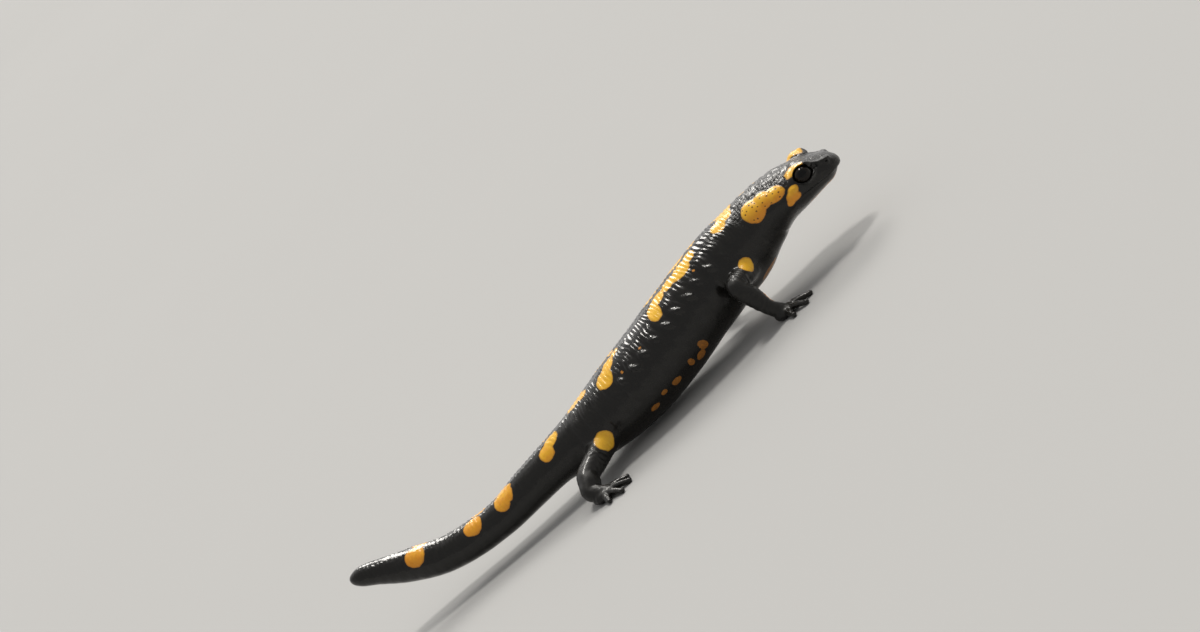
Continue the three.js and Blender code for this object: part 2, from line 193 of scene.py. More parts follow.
# The patches on the right side: x along the body, degrees down from the back's middle,
# half length, half height, tilt in degrees, and warmth from 0, yellow, to 1, dull orange;
# the high warmth of the patches low on the body is partly painted shade.
PATCHES = (
    (-67.6, 38, 2.6, 3.0, 10, 0.32),
    (-50.4, 33, 2.9, 2.8, 0, 0.28),
    (-40.0, 36, 2.7, 3.0, 0, 0.26),
    (-38.0, 32, 2.3, 2.6, 0, 0.26),
    (-38.8, 16, 3.4, 1.8, 0, 0.15),
    (-23.1, 41, 2.2, 2.4, 0, 0.18),
    (-20.6, 22, 2.5, 2.0, -35, 0.05),
    (-11.4, -5, 2.3, 1.5, 0, 0.05),
    (-8.4, -9, 2.4, 1.4, 0, 0.05),
    (1.0, 31, 3.0, 2.8, 0, 0.05),
    (4.0, 16, 2.7, 1.9, -25, 0.05),
    (7.6, 7, 2.0, 1.1, -15, 0.05),
    (22.7, 28, 2.1, 3.2, 10, 0.00),
    (25.4, 16, 2.8, 2.0, -8, 0.00),
    (30.2, 15, 2.8, 1.9, 0, 0.00),
    (34.6, 20, 3.4, 2.7, 0, 0.00),
    (38.4, 15, 1.8, 2.2, 0, 0.00),
    (49.0, 23, 2.7, 2.2, 10, 0.00),
    (52.2, 13, 2.8, 2.4, -10, 0.00),
    *JAW_SPOT,
    # Low patches under the flank and throat, near dull orange: partly their own duller colour,
    # partly painted shade.
    (4.5, 121, 1.4, 0.9, 0, 0.90),
    (8.7, 114, 0.9, 0.8, 0, 0.90),
    (12.6, 118, 1.4, 1.1, 20, 0.90),
    (18.0, 118, 0.8, 1.3, 0, 0.90),
    (20.8, 126, 1.4, 1.3, 0, 0.90),
    (23.1, 118, 1.2, 1.8, -15, 0.90),
    (13.3, 46, 0.6, 0.5, 0, 0.55),
    (5.8, 47, 0.5, 0.5, 0, 0.60),
    (36.4, 42, 0.4, 0.4, 0, 0.60),
    (77.0, 154, 3.6, 1.3, 0, 0.80),
    (72.5, 150, 3.0, 0.9, 0, 0.95),
    (48.5, 147, 3.2, 1.1, 0, 0.85),
    (42.0, 160, 4.0, 1.2, -8, 0.90),
)
# Patches on the legs: share of the way down, degrees round from the front towards the top,
# half length along the leg and half width, and warmth.
LEG_PATCHES = {
    "right_fore": ((0.27, 34, 2.3, 2.1, 0.05), (0.79, 0, 1.9, 0.75, 0.50)),
    "left_fore": ((0.28, 40, 2.2, 2.1, 0.10),),
    "right_hind": ((0.26, 34, 2.8, 2.8, 0.05),),
    "left_hind": ((0.30, 40, 2.5, 2.6, 0.12), (0.56, 60, 1.0, 0.9, 0.20)),
}
# The left side's patches are the right's, changed at random: the seed, and how far each may
# move along and down, change in size and turn. The head's patches stay where they are.
LEFT_SEED = 7
LEFT_MOVES, LEFT_DROPS, LEFT_SIZES, LEFT_TILTS = (-2.6, 2.6), (-5, 9), (0.8, 1.2), (-15, 15)
HEAD_START = 54

# The bright part of the left lids: turns round the eye in degrees, how far it lies beyond
# the lids' edge, and from the eye's middle. Each side's lids are dark inside LID_WALL.
LEFT_LID_TURNS, LEFT_LID_BEYOND, LEFT_LID_REACH = (48, 176), (0.30, 3.1), 5.8
LID_REACH, LID_WALL = 6.0, 2.85

# How warm the glands and the swollen spot are at their middle, and how much warmer, and
# darker, each degree lower makes them and the other patches: partly their own colour,
# partly painted shade towards the underside.
GLAND_WARMTH, SPOT_WARMTH, SPOT_DOWN = 0.20, 0.26, 85
WARMER_SHADED_GLAND, WARMER_SHADED_SPOT, WARMER_SHADED_PATCH = 0.015, 0.020, 0.003


# ----------------------------------------------------------------------------- numbers


def unit(vectors):
    """Each vector divided by its length."""
    vectors = np.asarray(vectors, float)
    return vectors / np.maximum(np.linalg.norm(vectors, axis=-1, keepdims=True), 1e-12)


def step(value, low, high):
    """0 below low, 1 above high, and between them 3 f^2 - 2 f^3 of the share f of the way."""
    share = np.clip((np.asarray(value, float) - low) / (high - low), 0, 1)
    return share * share * (3 - 2 * share)


def fall(value, low, high):
    """1 below low and 0 above high: 1 - step."""
    return 1 - step(value, low, high)


def bell(value, middle, width):
    """exp(-((value - middle) / width)^2): 1 at the middle, near 0 two widths away."""
    return np.exp(-(((value - middle) / width) ** 2))


def band(value, low, high, edge):
    """1 between low and high, easing to 0 over the edge's width outside them."""
    return step(value, low - edge, low) * fall(value, high, high + edge)


def circle(sides):
    """Turns, evenly spaced round a whole circle."""
    return np.linspace(0, 2 * math.pi, sides, endpoint=False)


def ball_grid(start, rings, sides):
    """Angles from a ball's axis, from start to as near the other end, by turns round it."""
    return np.meshgrid(np.linspace(start, math.pi - start, rings), circle(sides), indexing="ij")


def noise(points, wavelengths, seed):
    """Random heights from -1 to 1 at the corners of a lattice, blended between them.

    The lattice's steps are the wavelengths. The weight of a corner is the product, over
    the three axes, of 3 f^2 - 2 f^3, with f the share of the way towards it.
    """
    place = points / np.asarray(wavelengths, float)
    corner = np.floor(place).astype(np.int64)
    share = place - corner
    weight = share * share * (3 - 2 * share)
    total = np.zeros(len(points))
    for offset in np.ndindex(2, 2, 2):
        i, j, k = (corner + offset).T
        code = (i * 374761393 + j * 668265263 + k * 1442695041 + seed * 974711) & 0x7FFFFFFF
        code = ((code ^ (code >> 13)) * 1274126177) & 0x7FFFFFFF
        value = ((code ^ (code >> 16)) & 0xFFFF) / 32767.5 - 1
        total += value * np.prod(np.where(offset, weight, 1 - weight), axis=1)
    return total


def smooth_line(knots, places):
    """The Catmull-Rom curve through the knots, at places from 0, the first, to 1, the last.

    Between two knots it is the cubic whose slope at each is half the difference of the
    knots either side of it; the line is carried straight on beyond its ends.
    """
    knots = np.asarray(knots, float)
    padded = np.vstack([2 * knots[0] - knots[1], knots, 2 * knots[-1] - knots[-2]])
    along = np.clip(places, 0, 1) * (len(knots) - 1)
    span = np.minimum(along.astype(int), len(knots) - 2)
    f = (along - span)[:, None]
    before, start, end, after = (padded[span + i] for i in range(4))
    leave, reach = (end - before) / 2, (after - start) / 2
    whole = (2 * f**3 - 3 * f**2 + 1) * start + (f**3 - 2 * f**2 + f) * leave
    return whole + (3 * f**2 - 2 * f**3) * end + (f**3 - f**2) * reach


class Form:
    """A bent form: a smooth middle line, with a smooth half width, rise and drop along it."""

    SAMPLES, STRIDE, BATCH = 901, 20, 50000

    def __init__(self, knots, girths, reference=UP, squareness=2.0, rounded=False):
        self.knots, self.girths = np.asarray(knots, float), np.asarray(girths, float)
        self.reference, self.squareness, self.rounded = reference, squareness, rounded
        self.places = np.linspace(0, 1, self.SAMPLES)
        self.middle, self.ahead, self.right, self.up = self.section(self.places)
        steps = np.linalg.norm(np.diff(self.middle, axis=0), axis=1)
        self.length = np.concatenate([[0], np.cumsum(steps)])
        self.girth = self.girth_at(self.places)

    def section(self, places):
        """The middle, and the axes ahead, right and up, of the section at each place."""
        places = np.atleast_1d(np.asarray(places, float))
        middle = smooth_line(self.knots, places)
        small = 1e-4
        near, far = np.clip(places - small, 0, 1), np.clip(places + small, 0, 1)
        ahead = unit(smooth_line(self.knots, far) - smooth_line(self.knots, near))
        right = unit(np.cross(ahead, self.reference))
        return middle, ahead, right, np.cross(right, ahead)

    def girth_at(self, places):
        """Half width, rise and drop; a rounded end closes as sqrt(1 - f^2) of its last span."""
        girth = smooth_line(self.girths, places)
        if self.rounded:
            spans = len(self.knots) - 1
            for way in (places, 1 - places):
                share = np.clip(1 - way * spans, 0, 1)
                girth = girth * np.sqrt(1 - share**2)[:, None]
        return np.maximum(girth, 0.02)

    def outline(self, turn):
        """How far out the section reaches at each turn from the top, for a half width of 1."""
        across, height = np.sin(turn), np.cos(turn)
        power = self.squareness
        return across, height, (np.abs(across) ** power + np.abs(height) ** power) ** (-1 / power)

    def surface(self, places, turns):
        """Points of the form on a grid of places along it and turns round it."""
        middle, _, right, up = (part[:, None, :] for part in self.section(places))
        half, rise, drop = (part[:, None] for part in self.girth_at(places).T)
        across, height, reach = self.outline(turns)
        tall = np.where(height > 0, rise, drop)
        sideways = right * (half * across * reach)[..., None]
        return middle + sideways + up * (tall * height * reach)[..., None]

    def lie(self, points):
        """Where points lie on the form: the length along it, x of the middle there, the turn
        from its top, that turn without its sign in degrees (down) and as a length over the
        skin (width), the point in the form's own straightened space, and how far outside
        its surface. The nearest of the samples is taken first, then the step to the foot
        of the perpendicular on the tangent there."""
        coarse, near = self.middle[:: self.STRIDE], np.arange(-self.STRIDE, self.STRIDE + 1)
        nearest = np.empty(len(points), int)
        for start in range(0, len(points), self.BATCH):
            some = points[start : start + self.BATCH, None, :]
            rough = ((some - coarse) ** 2).sum(axis=2).argmin(axis=1) * self.STRIDE
            around = np.clip(rough[:, None] + near, 0, self.SAMPLES - 1)
            best = ((some - self.middle[around]) ** 2).sum(axis=2).argmin(axis=1)
            nearest[start : start + self.BATCH] = around[np.arange(len(best)), best]
        offset = points - self.middle[nearest]
        forth = (offset * self.ahead[nearest]).sum(axis=1)
        across = (offset * self.right[nearest]).sum(axis=1)
        height = (offset * self.up[nearest]).sum(axis=1)
        length = self.length[nearest] + forth
        place = np.interp(length, self.length, self.places)
        x = np.interp(length, self.length, self.middle[:, 0])
        half, rise, drop = self.girth_at(place).T
        tall = np.where(height > 0, rise, drop)
        power = self.squareness
        share = (np.abs(across / half) ** power + np.abs(height / tall) ** power) ** (1 / power)
        reach = np.hypot(across, height)
        turn = np.arctan2(across / half, height / tall)
        radius = reach / np.maximum(share, 1e-6)
        return {
            "length": length,
            "x": x,
            "turn": turn,
            "down": np.degrees(np.abs(turn)),
            "width": np.abs(turn) * radius,
            "radius": radius,
            "outside": reach - radius,
            "straight": np.column_stack([length, across, height]),
        }

    def place_at_x(self, x):
        """The place along the form whose middle has this x."""
        return np.interp(x, self.middle[:, 0], self.places)


NAMES = list(STATIONS)
TABLE = np.array(list(STATIONS.values()))
EYE_PLACE = NAMES.index("eye") / (len(NAMES) - 1)
MOUTH_NORMAL = np.array([math.sin(MOUTH_PITCH), 0, math.cos(MOUTH_PITCH)])
BODY = Form(
    TABLE[:, :3],
    np.column_stack([TABLE[:, 3] / 2, TABLE[:, 4], TABLE[:, 5]]),
    squareness=SQUARENESS,
    rounded=True,
)


def eye_frame(side):
    """The middle of an eye, and its axes outwards, forwards and upwards.

    It lies EYE_AHEAD in front of the eye station, EYE_OUT to the side and EYE_UP above.
    """
    section = BODY.section(EYE_PLACE)
    middle, ahead, right, up = (part[0] for part in section)
    centre = middle + right * side * EYE_OUT + ahead * EYE_AHEAD + up * EYE_UP
    outwards = unit(right * side + up * 0.42 + ahead * 0.10)
    nose_down = math.radians(5)
    forwards = unit(ahead * math.cos(nose_down) - up * math.sin(nose_down))
    forwards = unit(forwards - outwards * (forwards @ outwards))
    upwards = np.cross(outwards, forwards) * side
    return centre, outwards, forwards, upwards * np.sign(upwards @ up)


# The frame's origin is under the middle of its box, a little way from the stations' own.
EYE_BOX = np.array(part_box("eye_right")) / MM
SHIFT = EYE_BOX.mean(axis=0) - eye_frame(RIGHT)[0]


# ------------------------------------------------------------------------------ meshes


def add_piece(name, points, faces):
    """A new closed mesh object from points in millimetres, in stations' space, and faces.

    Its signed volume is a sixth of the sum, over the triangles, of a . (b x c). Where that
    is negative the surface is inside out, and every face is turned round.
    """
    mesh = bpy.data.meshes.new(name)
    mesh.from_pydata((points + SHIFT) * MM, [], faces)
    mesh.calc_loop_triangles()
    corners = read(mesh.loop_triangles, "vertices", 3, int)
    a, b, c = (points - points.mean(axis=0))[corners].transpose(1, 0, 2)
    if (a * np.cross(b, c)).sum() < 0:
        mesh.flip_normals()
    mesh.shade_smooth()
    piece = bpy.data.objects.new(name, mesh)
    bpy.context.scene.collection.objects.link(piece)
    return piece


def closed_tube(grid):
    """Points and faces of a grid of rings by sides, closed by a point in the middle of each
    end ring. Ring r, side s is joined to r + 1 and s + 1, and the last side to the first."""
    rings, sides = grid.shape[:2]
    here = np.arange(rings * sides).reshape(rings, sides)
    beside = np.roll(here, -1, axis=1)
    walls = np.stack([here[:-1], here[1:], beside[1:], beside[:-1]], axis=2).reshape(-1, 4)
    first, last = rings * sides, rings * sides + 1
    start = np.column_stack([here[0], beside[0], np.full(sides, first)])
    end = np.column_stack([beside[-1], here[-1], np.full(sides, last)])
    points = np.vstack([grid.reshape(-1, 3), grid[0].mean(axis=0), grid[-1].mean(axis=0)])
    return points, walls.tolist() + start.tolist() + end.tolist()


def read(items, name, columns, kind=float):
    """One value of each of a mesh's points, edges or triangles, as rows of an array."""
    flat = np.empty(len(items) * columns, kind)
    items.foreach_get(name, flat)
    return flat.reshape(-1, columns)


def read_points(piece):
    """The piece's points in millimetres, in the stations' space."""
    return read(piece.data.vertices, "co", 3) / MM - SHIFT


def write_points(piece, points):
    """Moves the piece's points to these, in millimetres, in the stations' space."""
    piece.data.vertices.foreach_set("co", ((points + SHIFT) * MM).ravel())
    piece.data.update()


def read_normals(piece):
    """The unit normal of the skin at each of the piece's points."""
    return read(piece.data.vertices, "normal", 3)


def apply_modifiers(piece):
    """Makes the piece's modifiers part of its mesh."""
    graph = bpy.context.evaluated_depsgraph_get()
    mesh = bpy.data.meshes.new_from_object(piece.evaluated_get(graph))
    piece.modifiers.clear()
    old, piece.data = piece.data, mesh
    bpy.data.meshes.remove(old)


def remesh(piece, size):
    """Replaces the piece's overlapping forms by one surface of even squares."""
    modifier = piece.modifiers.new("Even skin", "REMESH")
    modifier.mode = "VOXEL"
    modifier.voxel_size = size * MM
    apply_modifiers(piece)


def combine(piece, others, operation):
    """Joins the other pieces to this one, or cuts them from it, and removes them."""
    for other in others:
        modifier = piece.modifiers.new("Combine", "BOOLEAN")
        modifier.operation = operation
        modifier.solver = "MANIFOLD"
        modifier.object = other
        before = len(piece.data.vertices)
        apply_modifiers(piece)
        if len(piece.data.vertices) < 0.5 * before:
            raise RuntimeError(f"{other.name} could not be combined with {piece.name}")
    for other in others:
        mesh = other.data
        bpy.data.objects.remove(other)
        bpy.data.meshes.remove(mesh)


def relax(piece, points, amount, rounds):
    """Moves each point by its amount of the way to the middle of its neighbours, each round."""
    ends = read(piece.data.edges, "vertices", 2, int)
    one, two = ends.T
    count = np.bincount(ends.ravel(), minlength=len(points))
    for _ in range(rounds):
        total = np.empty_like(points)
        for axis in range(3):
            value = points[:, axis]
            total[:, axis] = np.bincount(one, value[two], len(points))
            total[:, axis] += np.bincount(two, value[one], len(points))
        points = points + (total / count[:, None] - points) * amount[:, None]
    return points


def drop_bubbles(piece):
    """Removes every part that isn't joined to the largest: each point takes the lowest
    number among those it is joined to, until none changes."""
    one, two = read(piece.data.edges, "vertices", 2, int).T
    label, changed = np.arange(len(piece.data.vertices)), True
    while changed:
        lowest = label.copy()
        np.minimum.at(lowest, one, label[two])
        np.minimum.at(lowest, two, label[one])
        lowest = lowest[lowest]
        changed = bool((lowest != label).any())
        label = lowest
    loose = np.flatnonzero(label != np.bincount(label).argmax())
    if len(loose):
        shell = bmesh.new()
        shell.from_mesh(piece.data)
        shell.verts.ensure_lookup_table()
        bmesh.ops.delete(shell, geom=[shell.verts[i] for i in loose])
        shell.to_mesh(piece.data)
        shell.free()


def thin_out(piece, most):
    """Merges the points that add least to the shape, down to this many triangles."""
    piece.data.calc_loop_triangles()
    modifier = piece.modifiers.new("Fewer triangles", "DECIMATE")
    modifier.ratio = min(1.0, most / len(piece.data.loop_triangles))
    apply_modifiers(piece)


# ---------------------------------------------------------------------- the skin's form


def gland_shares(lie):
    """For each lobe of the neck gland, (dx / half length)^2 + (dy / half height)^2: 0 in its
    middle and 1 at its edge."""
    turn = np.abs(lie["turn"])
    for middle, low, long, tall, proud in GLAND_LOBES:
        beside = (turn - math.radians(low)) * lie["radius"]
        yield proud, ((lie["x"] - middle) / long) ** 2 + (beside / tall) ** 2


def gland_share(lie):
    """1 on the neck gland, easing to 0 just outside it."""
    return np.max([fall(share, 0.9, 1.5) for _, share in gland_shares(lie)], axis=0)


def trunk_relief(lie, size):
    """How far the skin of the neck, trunk and tail stands proud, in millimetres: the sum of
    grooves, glands, creases and pebbles, each a bell or a wave of the place along and the
    turn round."""
    x, length, straight, down, width = (
        lie[name] for name in ("x", "length", "straight", "down", "width")
    )
    side = np.sign(lie["turn"])
    trunk = band(x, -12, 44, 8)
    height = np.zeros(len(x))

    # Grooves between the ribs, with a gland on the flank between each two.
    rib = (x - GROOVE_START - 0.35 * (down - 60) / 60) / size.groove_spacing
    off_gland = rib - np.round(rib)
    off_groove = np.abs(off_gland) - 0.5
    flank = band(down, 48, 84, 22)
    height -= size.groove_depth * bell(off_groove, 0, 0.15) * flank * trunk
    height += 0.08 * np.cos(2 * math.pi * off_gland) * flank * trunk
    unlike = noise(np.column_stack([np.round(rib), side, 0 * x]) + 0.01, (1, 1, 1), 5)
    low = width - GLAND_ROW - 0.7 * unlike
    off = off_gland * size.groove_spacing - 0.3 * unlike - 0.6 * low
    gland = bell(off, 0, 0.80) * bell(low, 0, 1.25)
    height += size.gland_height * (1 + 0.3 * unlike) * gland * band(x, 3, 41, 4)

    # Creases that run round the body from the back, forked and broken by noise.
    wander = 1.0 * noise(straight, (6, 3.6, 3.6), 11) + 0.35 * noise(straight, (2.4, 1.8, 1.8), 12)
    ridge = np.abs(np.sin(math.pi * (length / size.crease_spacing + wander))) ** 0.75 - 0.62
    broken = np.clip(0.62 + 0.55 * noise(straight, (2.4, 2.6, 2.6), 13), 0, 1.2)
    where = 0.10 + 0.90 * fall(down, 58, 84)
    where *= (0.75 + 0.25 * step(x, -26, -6)) * step(x, -84.5, -79)
    where *= (1 - 0.75 * step(x, 61, 68)) * (1 - gland_share(lie))
    height += 2 * size.crease_depth * ridge * broken * where * fall(x, 66, 72)

    # Soft swells, low pebbles, and glands like beads in a row each side of the back's middle.
    height += 0.10 * noise(straight, (4.5, 3.5, 3.5), 22) * step(x, -80, -60) * fall(x, 56, 62)
    height += 0.030 * noise(straight, (0.8, 0.8, 0.8), 21) * fall(down, 120, 150)
    beads = length / BEAD_SPACING + 0.3 * noise(straight, (3, 9, 9), 24)
    row = bell(width, 1.3 + 0.4 * noise(straight, (1.6, 4, 4), 23), 0.45)
    row *= bell((beads - np.round(beads)) * BEAD_SPACING, 0, 0.42)
    height += 0.16 * row * band(x, -74, 46, 4)

    # The tail's blunt tip, and faint rings round the tail, deepest low on its sides.
    height += 0.34 * bell(x, -83.2, 2.6)
    ring = np.cos(2 * math.pi * (length / 3.1 + 0.3 * noise(straight, (5, 3, 3), 17)))
    height += 0.032 * ring * band(x, -78, -26, 6) * band(down, 60, 130, 25)

    # Folds of the neck, behind the glands.
    for middle, depth, top in ((53.4, 0.13, 40), (51.0, 0.07, 62)):
        bent = x - middle - 0.5 * np.sin((down - 60) / 30) - 0.2 * noise(straight, (9, 3, 3), 27)
        height -= depth * bell(bent, 0, 0.60) * band(down, top, 104, 22)

    # The vent, under the tail's root.
    under = (math.pi - np.abs(lie["turn"])) * lie["radius"]
    height += 0.75 * bell(x, VENT_X, 4.2) * bell(under, 0, 2.8)
    height -= 0.45 * bell(x, VENT_X, 2.4) * bell(under, 0, 0.35)
    return height


def throat_fold(lie):
    """How far a place lies in front of the fold across the throat, which bows forwards."""
    return lie["x"] - THROAT_X - THROAT_BOW * step(lie["down"], 100, 180)


def head_relief(points, lie):
    """How far the skin of the head stands proud, in millimetres: the large glands, jaw
    muscles, ridges from eye to nostril, hollow cheeks, lips, the folds and edges of the
    lids, and wrinkles, each a bell, a step or smoothed noise."""
    x, straight, down, width = (lie[name] for name in ("x", "straight", "down", "width"))
    height = np.zeros(len(x))

    for proud, share in gland_shares(lie):
        height = np.maximum(height, proud * np.clip(1 - share, 0, 1) ** 0.6)

    # The swollen spot, the fold across the throat and the swell behind it.
    height += 0.36 * step(jaw_spot_depth(lie), -0.25, 1.3)
    fold = throat_fold(lie)
    height -= 0.20 * bell(fold, 0, 0.55) * step(down, 100, 128)
    height += 0.10 * bell(fold, -1.6, 1.3) * step(down, 100, 130)

    # The jaw's muscles, the hollow along the snout, and the ridges of the skull.
    height += 0.40 * bell(x, 66.6, 2.4) * bell(down, 100, 22)
    height -= 0.20 * bell(x, 75.8, 2.4) * bell(width, 0, 2.0)
    height += 0.20 * bell(x, 68.0, 3.2) * bell(width, 3.2, 1.3)

    # The lips: full above the mouth, and drawn in below it at the front.
    over_mouth = (points - (MOUTH_FRONT[0], 0, MOUTH_FRONT[1])) @ MOUTH_NORMAL
    height += 0.12 * bell(over_mouth, 0.45, 0.40) * step(x, 71, 75)
    height -= 0.55 * step(-over_mouth, 0.0, 0.5) * step(x, 78, 82.2)

    # Wrinkles of the crown: folds where smoothed noise crosses zero.
    crown = band(x, 55, 73, 3) * fall(down, 44, 66) * (1 - gland_share(lie))
    crown *= 1 - near_lids(points)
    height -= 0.13 * bell(noise(straight, (1.1, 2.4, 2.4), 41), 0, 0.28) * crown
    height -= 0.08 * bell(noise(straight, (1.9, 1.3, 1.3), 43), 0, 0.24) * crown
    height += 0.11 * noise(straight, (1.2, 1.7, 1.7), 42) * crown
    height += 0.018 * noise(straight, (0.9, 0.9, 0.9), 25) * step(x, 58, 66)

    for side in (RIGHT, LEFT):
        # The crest round the snout, the crease under it and the lower lid's front corner.
        mine = step(lie["turn"] * side, -0.05, 0.25)
        forth, over = side_view(points, side)
        crest = over - np.interp(forth, *CREST)
        height += 0.58 * bell(crest, -0.05, 0.60) * band(forth, 2.2, 7.6, 1.0) * mine
        height -= 0.24 * bell(crest, -1.7, 0.85) * band(forth, 4.2, 7.6, 1.2) * mine
        crease = over - np.interp(forth, *CREASE)
        height -= 0.48 * bell(crease, 0, 0.26) * band(forth, 2.3, 4.0, 0.7) * mine
        lid = over - np.interp(forth, *LOWER_LID)
        height += 0.16 * bell(lid, -0.1, 0.24) * band(forth, 2.0, 4.0, 0.6) * mine

        # The lids' two folds, their beaded edge, and the rim of the nostril.
        reach, beyond, about = round_eye(points, side)
        lid = band(beyond, 0.2, 1.9, 0.4) * (1 - 0.5 * step(-np.sin(about), 0.2, 0.8))
        height -= 0.03 * (bell(beyond, 0.85, 0.17) + bell(beyond, 1.35, 0.19)) * lid
        below = step(-np.sin(about - 0.5), -0.1, 0.5)
        beads = 1 + 0.4 * below * np.sin(about * 19 + 0.6 * np.sin(about * 5))
        edge = bell(beyond, 0.10, 0.30) * fall(reach, 3.9, 4.5)
        height += (0.22 + 0.05 * np.sin(about)) * edge
        height += 0.46 * beads * bell(beyond, 0.46, 0.24) * step(-np.sin(about), 0.0, 0.45)
        nostril = np.linalg.norm(points - nostril_frame(side)[0], axis=1)
        height += 0.16 * bell(nostril, 0.60, 0.24)
    return height


def near_lids(points):
    """1 on the lids of either eye, easing to 0 just outside them."""
    reach = np.min([round_eye(points, side)[0] for side in (RIGHT, LEFT)], axis=0)
    return fall(reach, 3.8, 4.8)


def side_view(points, side):
    """Where points lie as seen from one side, from LOOK_DOWN above level: how far ahead of
    the eye's middle, and how far over it. The left side is first laid on the right one, by
    a mirror down the middle of the head."""
    middle, _, right, _ = (part[0] for part in BODY.section(EYE_PLACE))
    if side == LEFT:
        points = points - 2 * ((points - middle) @ right)[:, None] * right
    offset = points - eye_frame(RIGHT)[0]
    over = offset[:, 2] * math.cos(LOOK_DOWN) + offset[:, 1] * math.sin(LOOK_DOWN)
    return offset[:, 0], over


def round_eye(points, side):
    """Where points lie round an eye: their distance from its middle, how far they lie
    beyond the lids' edge, and their turn round its axis from straight ahead."""
    centre, outwards, forwards, upwards = eye_frame(side)
    offset = points - centre
    forth, over = offset @ forwards, offset @ upwards
    about = np.arctan2(over, forth)
    angle = np.arctan2(np.hypot(forth, over), offset @ outwards)
    reach = np.linalg.norm(offset, axis=1)
    return reach, (angle - lid_edge(about)) * LID_EDGE_RADIUS, about


def make_body(size):
    """The plain body: rings closer on the head than on the tail, even along the outline."""
    fine = np.linspace(0, 1, 24001)
    middle, girth = smooth_line(BODY.knots, fine), BODY.girth_at(fine)
    run = np.sqrt((np.diff(middle, axis=0) ** 2).sum(axis=1) + np.diff(girth[:, 1]) ** 2)
    spacing = np.interp(middle[1:, 0], *RING_SPACING)
    count = np.concatenate([[0], np.cumsum(run / (spacing * size.detail))])
    rings = np.interp(np.arange(0.5, count[-1]), count, fine)
    return add_piece("body", *closed_tube(BODY.surface(rings, circle(size.body_sides))))


def leg_form(name):
    """A leg's form, from inside the body to the palm, with its muscles' extra girth."""
    kind, side, _, joints = LEGS[name]
    root, bend, ankle, palm = (np.array([x, -side * out, z]) for x, out, z in joints)
    girth = np.array(kind["girth"]) / 2
    knots = [root, root + (bend - root) * 0.6, bend, (bend + ankle) / 2, ankle, palm]
    thick = [girth[0], girth[0] + (girth[1] - girth[0]) * 0.6, *girth[1:]]
    return Form(knots, np.repeat(np.array(thick)[:, None], 3, axis=1), reference=FORWARD)


LEG_FORMS = {name: leg_form(name) for name in LEGS}


def digit_surface(centre, heading, length):
    """A finger or toe: a tube that arches from the palm and comes down on its tip. Its
    radius falls from 0.99 to 0.65, swells at two joints and the tip, and ends as a dome."""
    way = np.array([math.cos(heading), math.sin(heading), 0])
    knots = [centre + way * share * length for share, _ in DIGIT_LINE]
    for knot, (_, height) in zip(knots, DIGIT_LINE):
        knot[2] = height
    places = 1 - (1 - np.linspace(0, 1, 26)) ** 1.5
    form = Form(knots, np.ones((4, 3)), reference=UP)
    radius = 0.98 - 0.34 * places
    for swell, middle, width in ((0.07, 0.50, 0.07), (0.07, 0.76, 0.06), (0.04, 0.95, 0.05)):
        radius = radius + swell * bell(places, middle, width)
    radius *= np.sqrt(np.clip(1 - (np.clip(places - 0.9, 0, 1) / 0.101) ** 2, 0, 1)) + 0.01
    middle, _, right, up = (part[:, None, :] for part in form.section(places))
    turns, flat = circle(18)[None, :, None], 0.92
    across = np.sin(turns) * radius[:, None, None]
    height = np.cos(turns) * radius[:, None, None] * flat
    return middle + right * across + up * height


def palm_surface(centre, heading, long, wide):
    """A palm or sole: an egg, long and wide, thinner towards the digits."""
    tilt = np.linspace(0.04, math.pi - 0.04, 24)[:, None]
    turn = circle(32)[None, :]
    ahead = -np.cos(tilt) * np.ones_like(turn)
    across, height = np.sin(tilt) * np.sin(turn), np.sin(tilt) * np.cos(turn)
    thin = 1 - 0.18 * ahead
    forth = np.array([math.cos(heading), math.sin(heading), 0])
    out = np.cross(forth, UP)
    grid = forth * (ahead * long / 2)[..., None] + out * (across * wide / 2)[..., None]
    return centre + grid + UP * (height * thin * PALM_HALF)[..., None]


def make_leg(name, size):
    """One leg: the limb, palm and digits as overlapping tubes, turned into one surface,
    flared where it leaves the body, and flattened where it stands."""
    kind, side, heading, joints = LEGS[name]
    form = LEG_FORMS[name]
    limb = form.surface(np.linspace(0, 1, 90), circle(40))
    centre = np.array([joints[3][0], -side * joints[3][1], PALM_HEIGHT])
    front = -side * math.radians(heading)
    long, wide = kind["palm"]
    surfaces = [limb, palm_surface(centre, front, long, wide)]
    for spread, length in kind["digits"]:
        way = front - side * math.radians(spread)
        surfaces.append(digit_surface(centre, way, long * DIGIT_START + length))
    points, faces = [], []
    for grid in surfaces:
        own_points, own_faces = closed_tube(grid)
        start = sum(map(len, points))
        points.append(own_points)
        faces += [[corner + start for corner in face] for face in own_faces]
    piece = add_piece(name, np.vstack(points), faces)
    remesh(piece, size.leg_voxel * size.detail)
    points = read_points(piece)
    points = relax(piece, points, np.full(len(points), 0.5), 4)
    off_body = np.clip(BODY.lie(points)["outside"], 0, None)
    share = form.lie(points)["length"] / form.length[-1]
    flare = 0.55 * np.exp(-off_body / 1.5) * fall(share, 0.35, 0.5)
    points = points + read_normals(piece) * (0.07 + flare)[:, None]
    points[:, 2] = np.maximum(points[:, 2], 0.0)
    write_points(piece, points)
    return piece


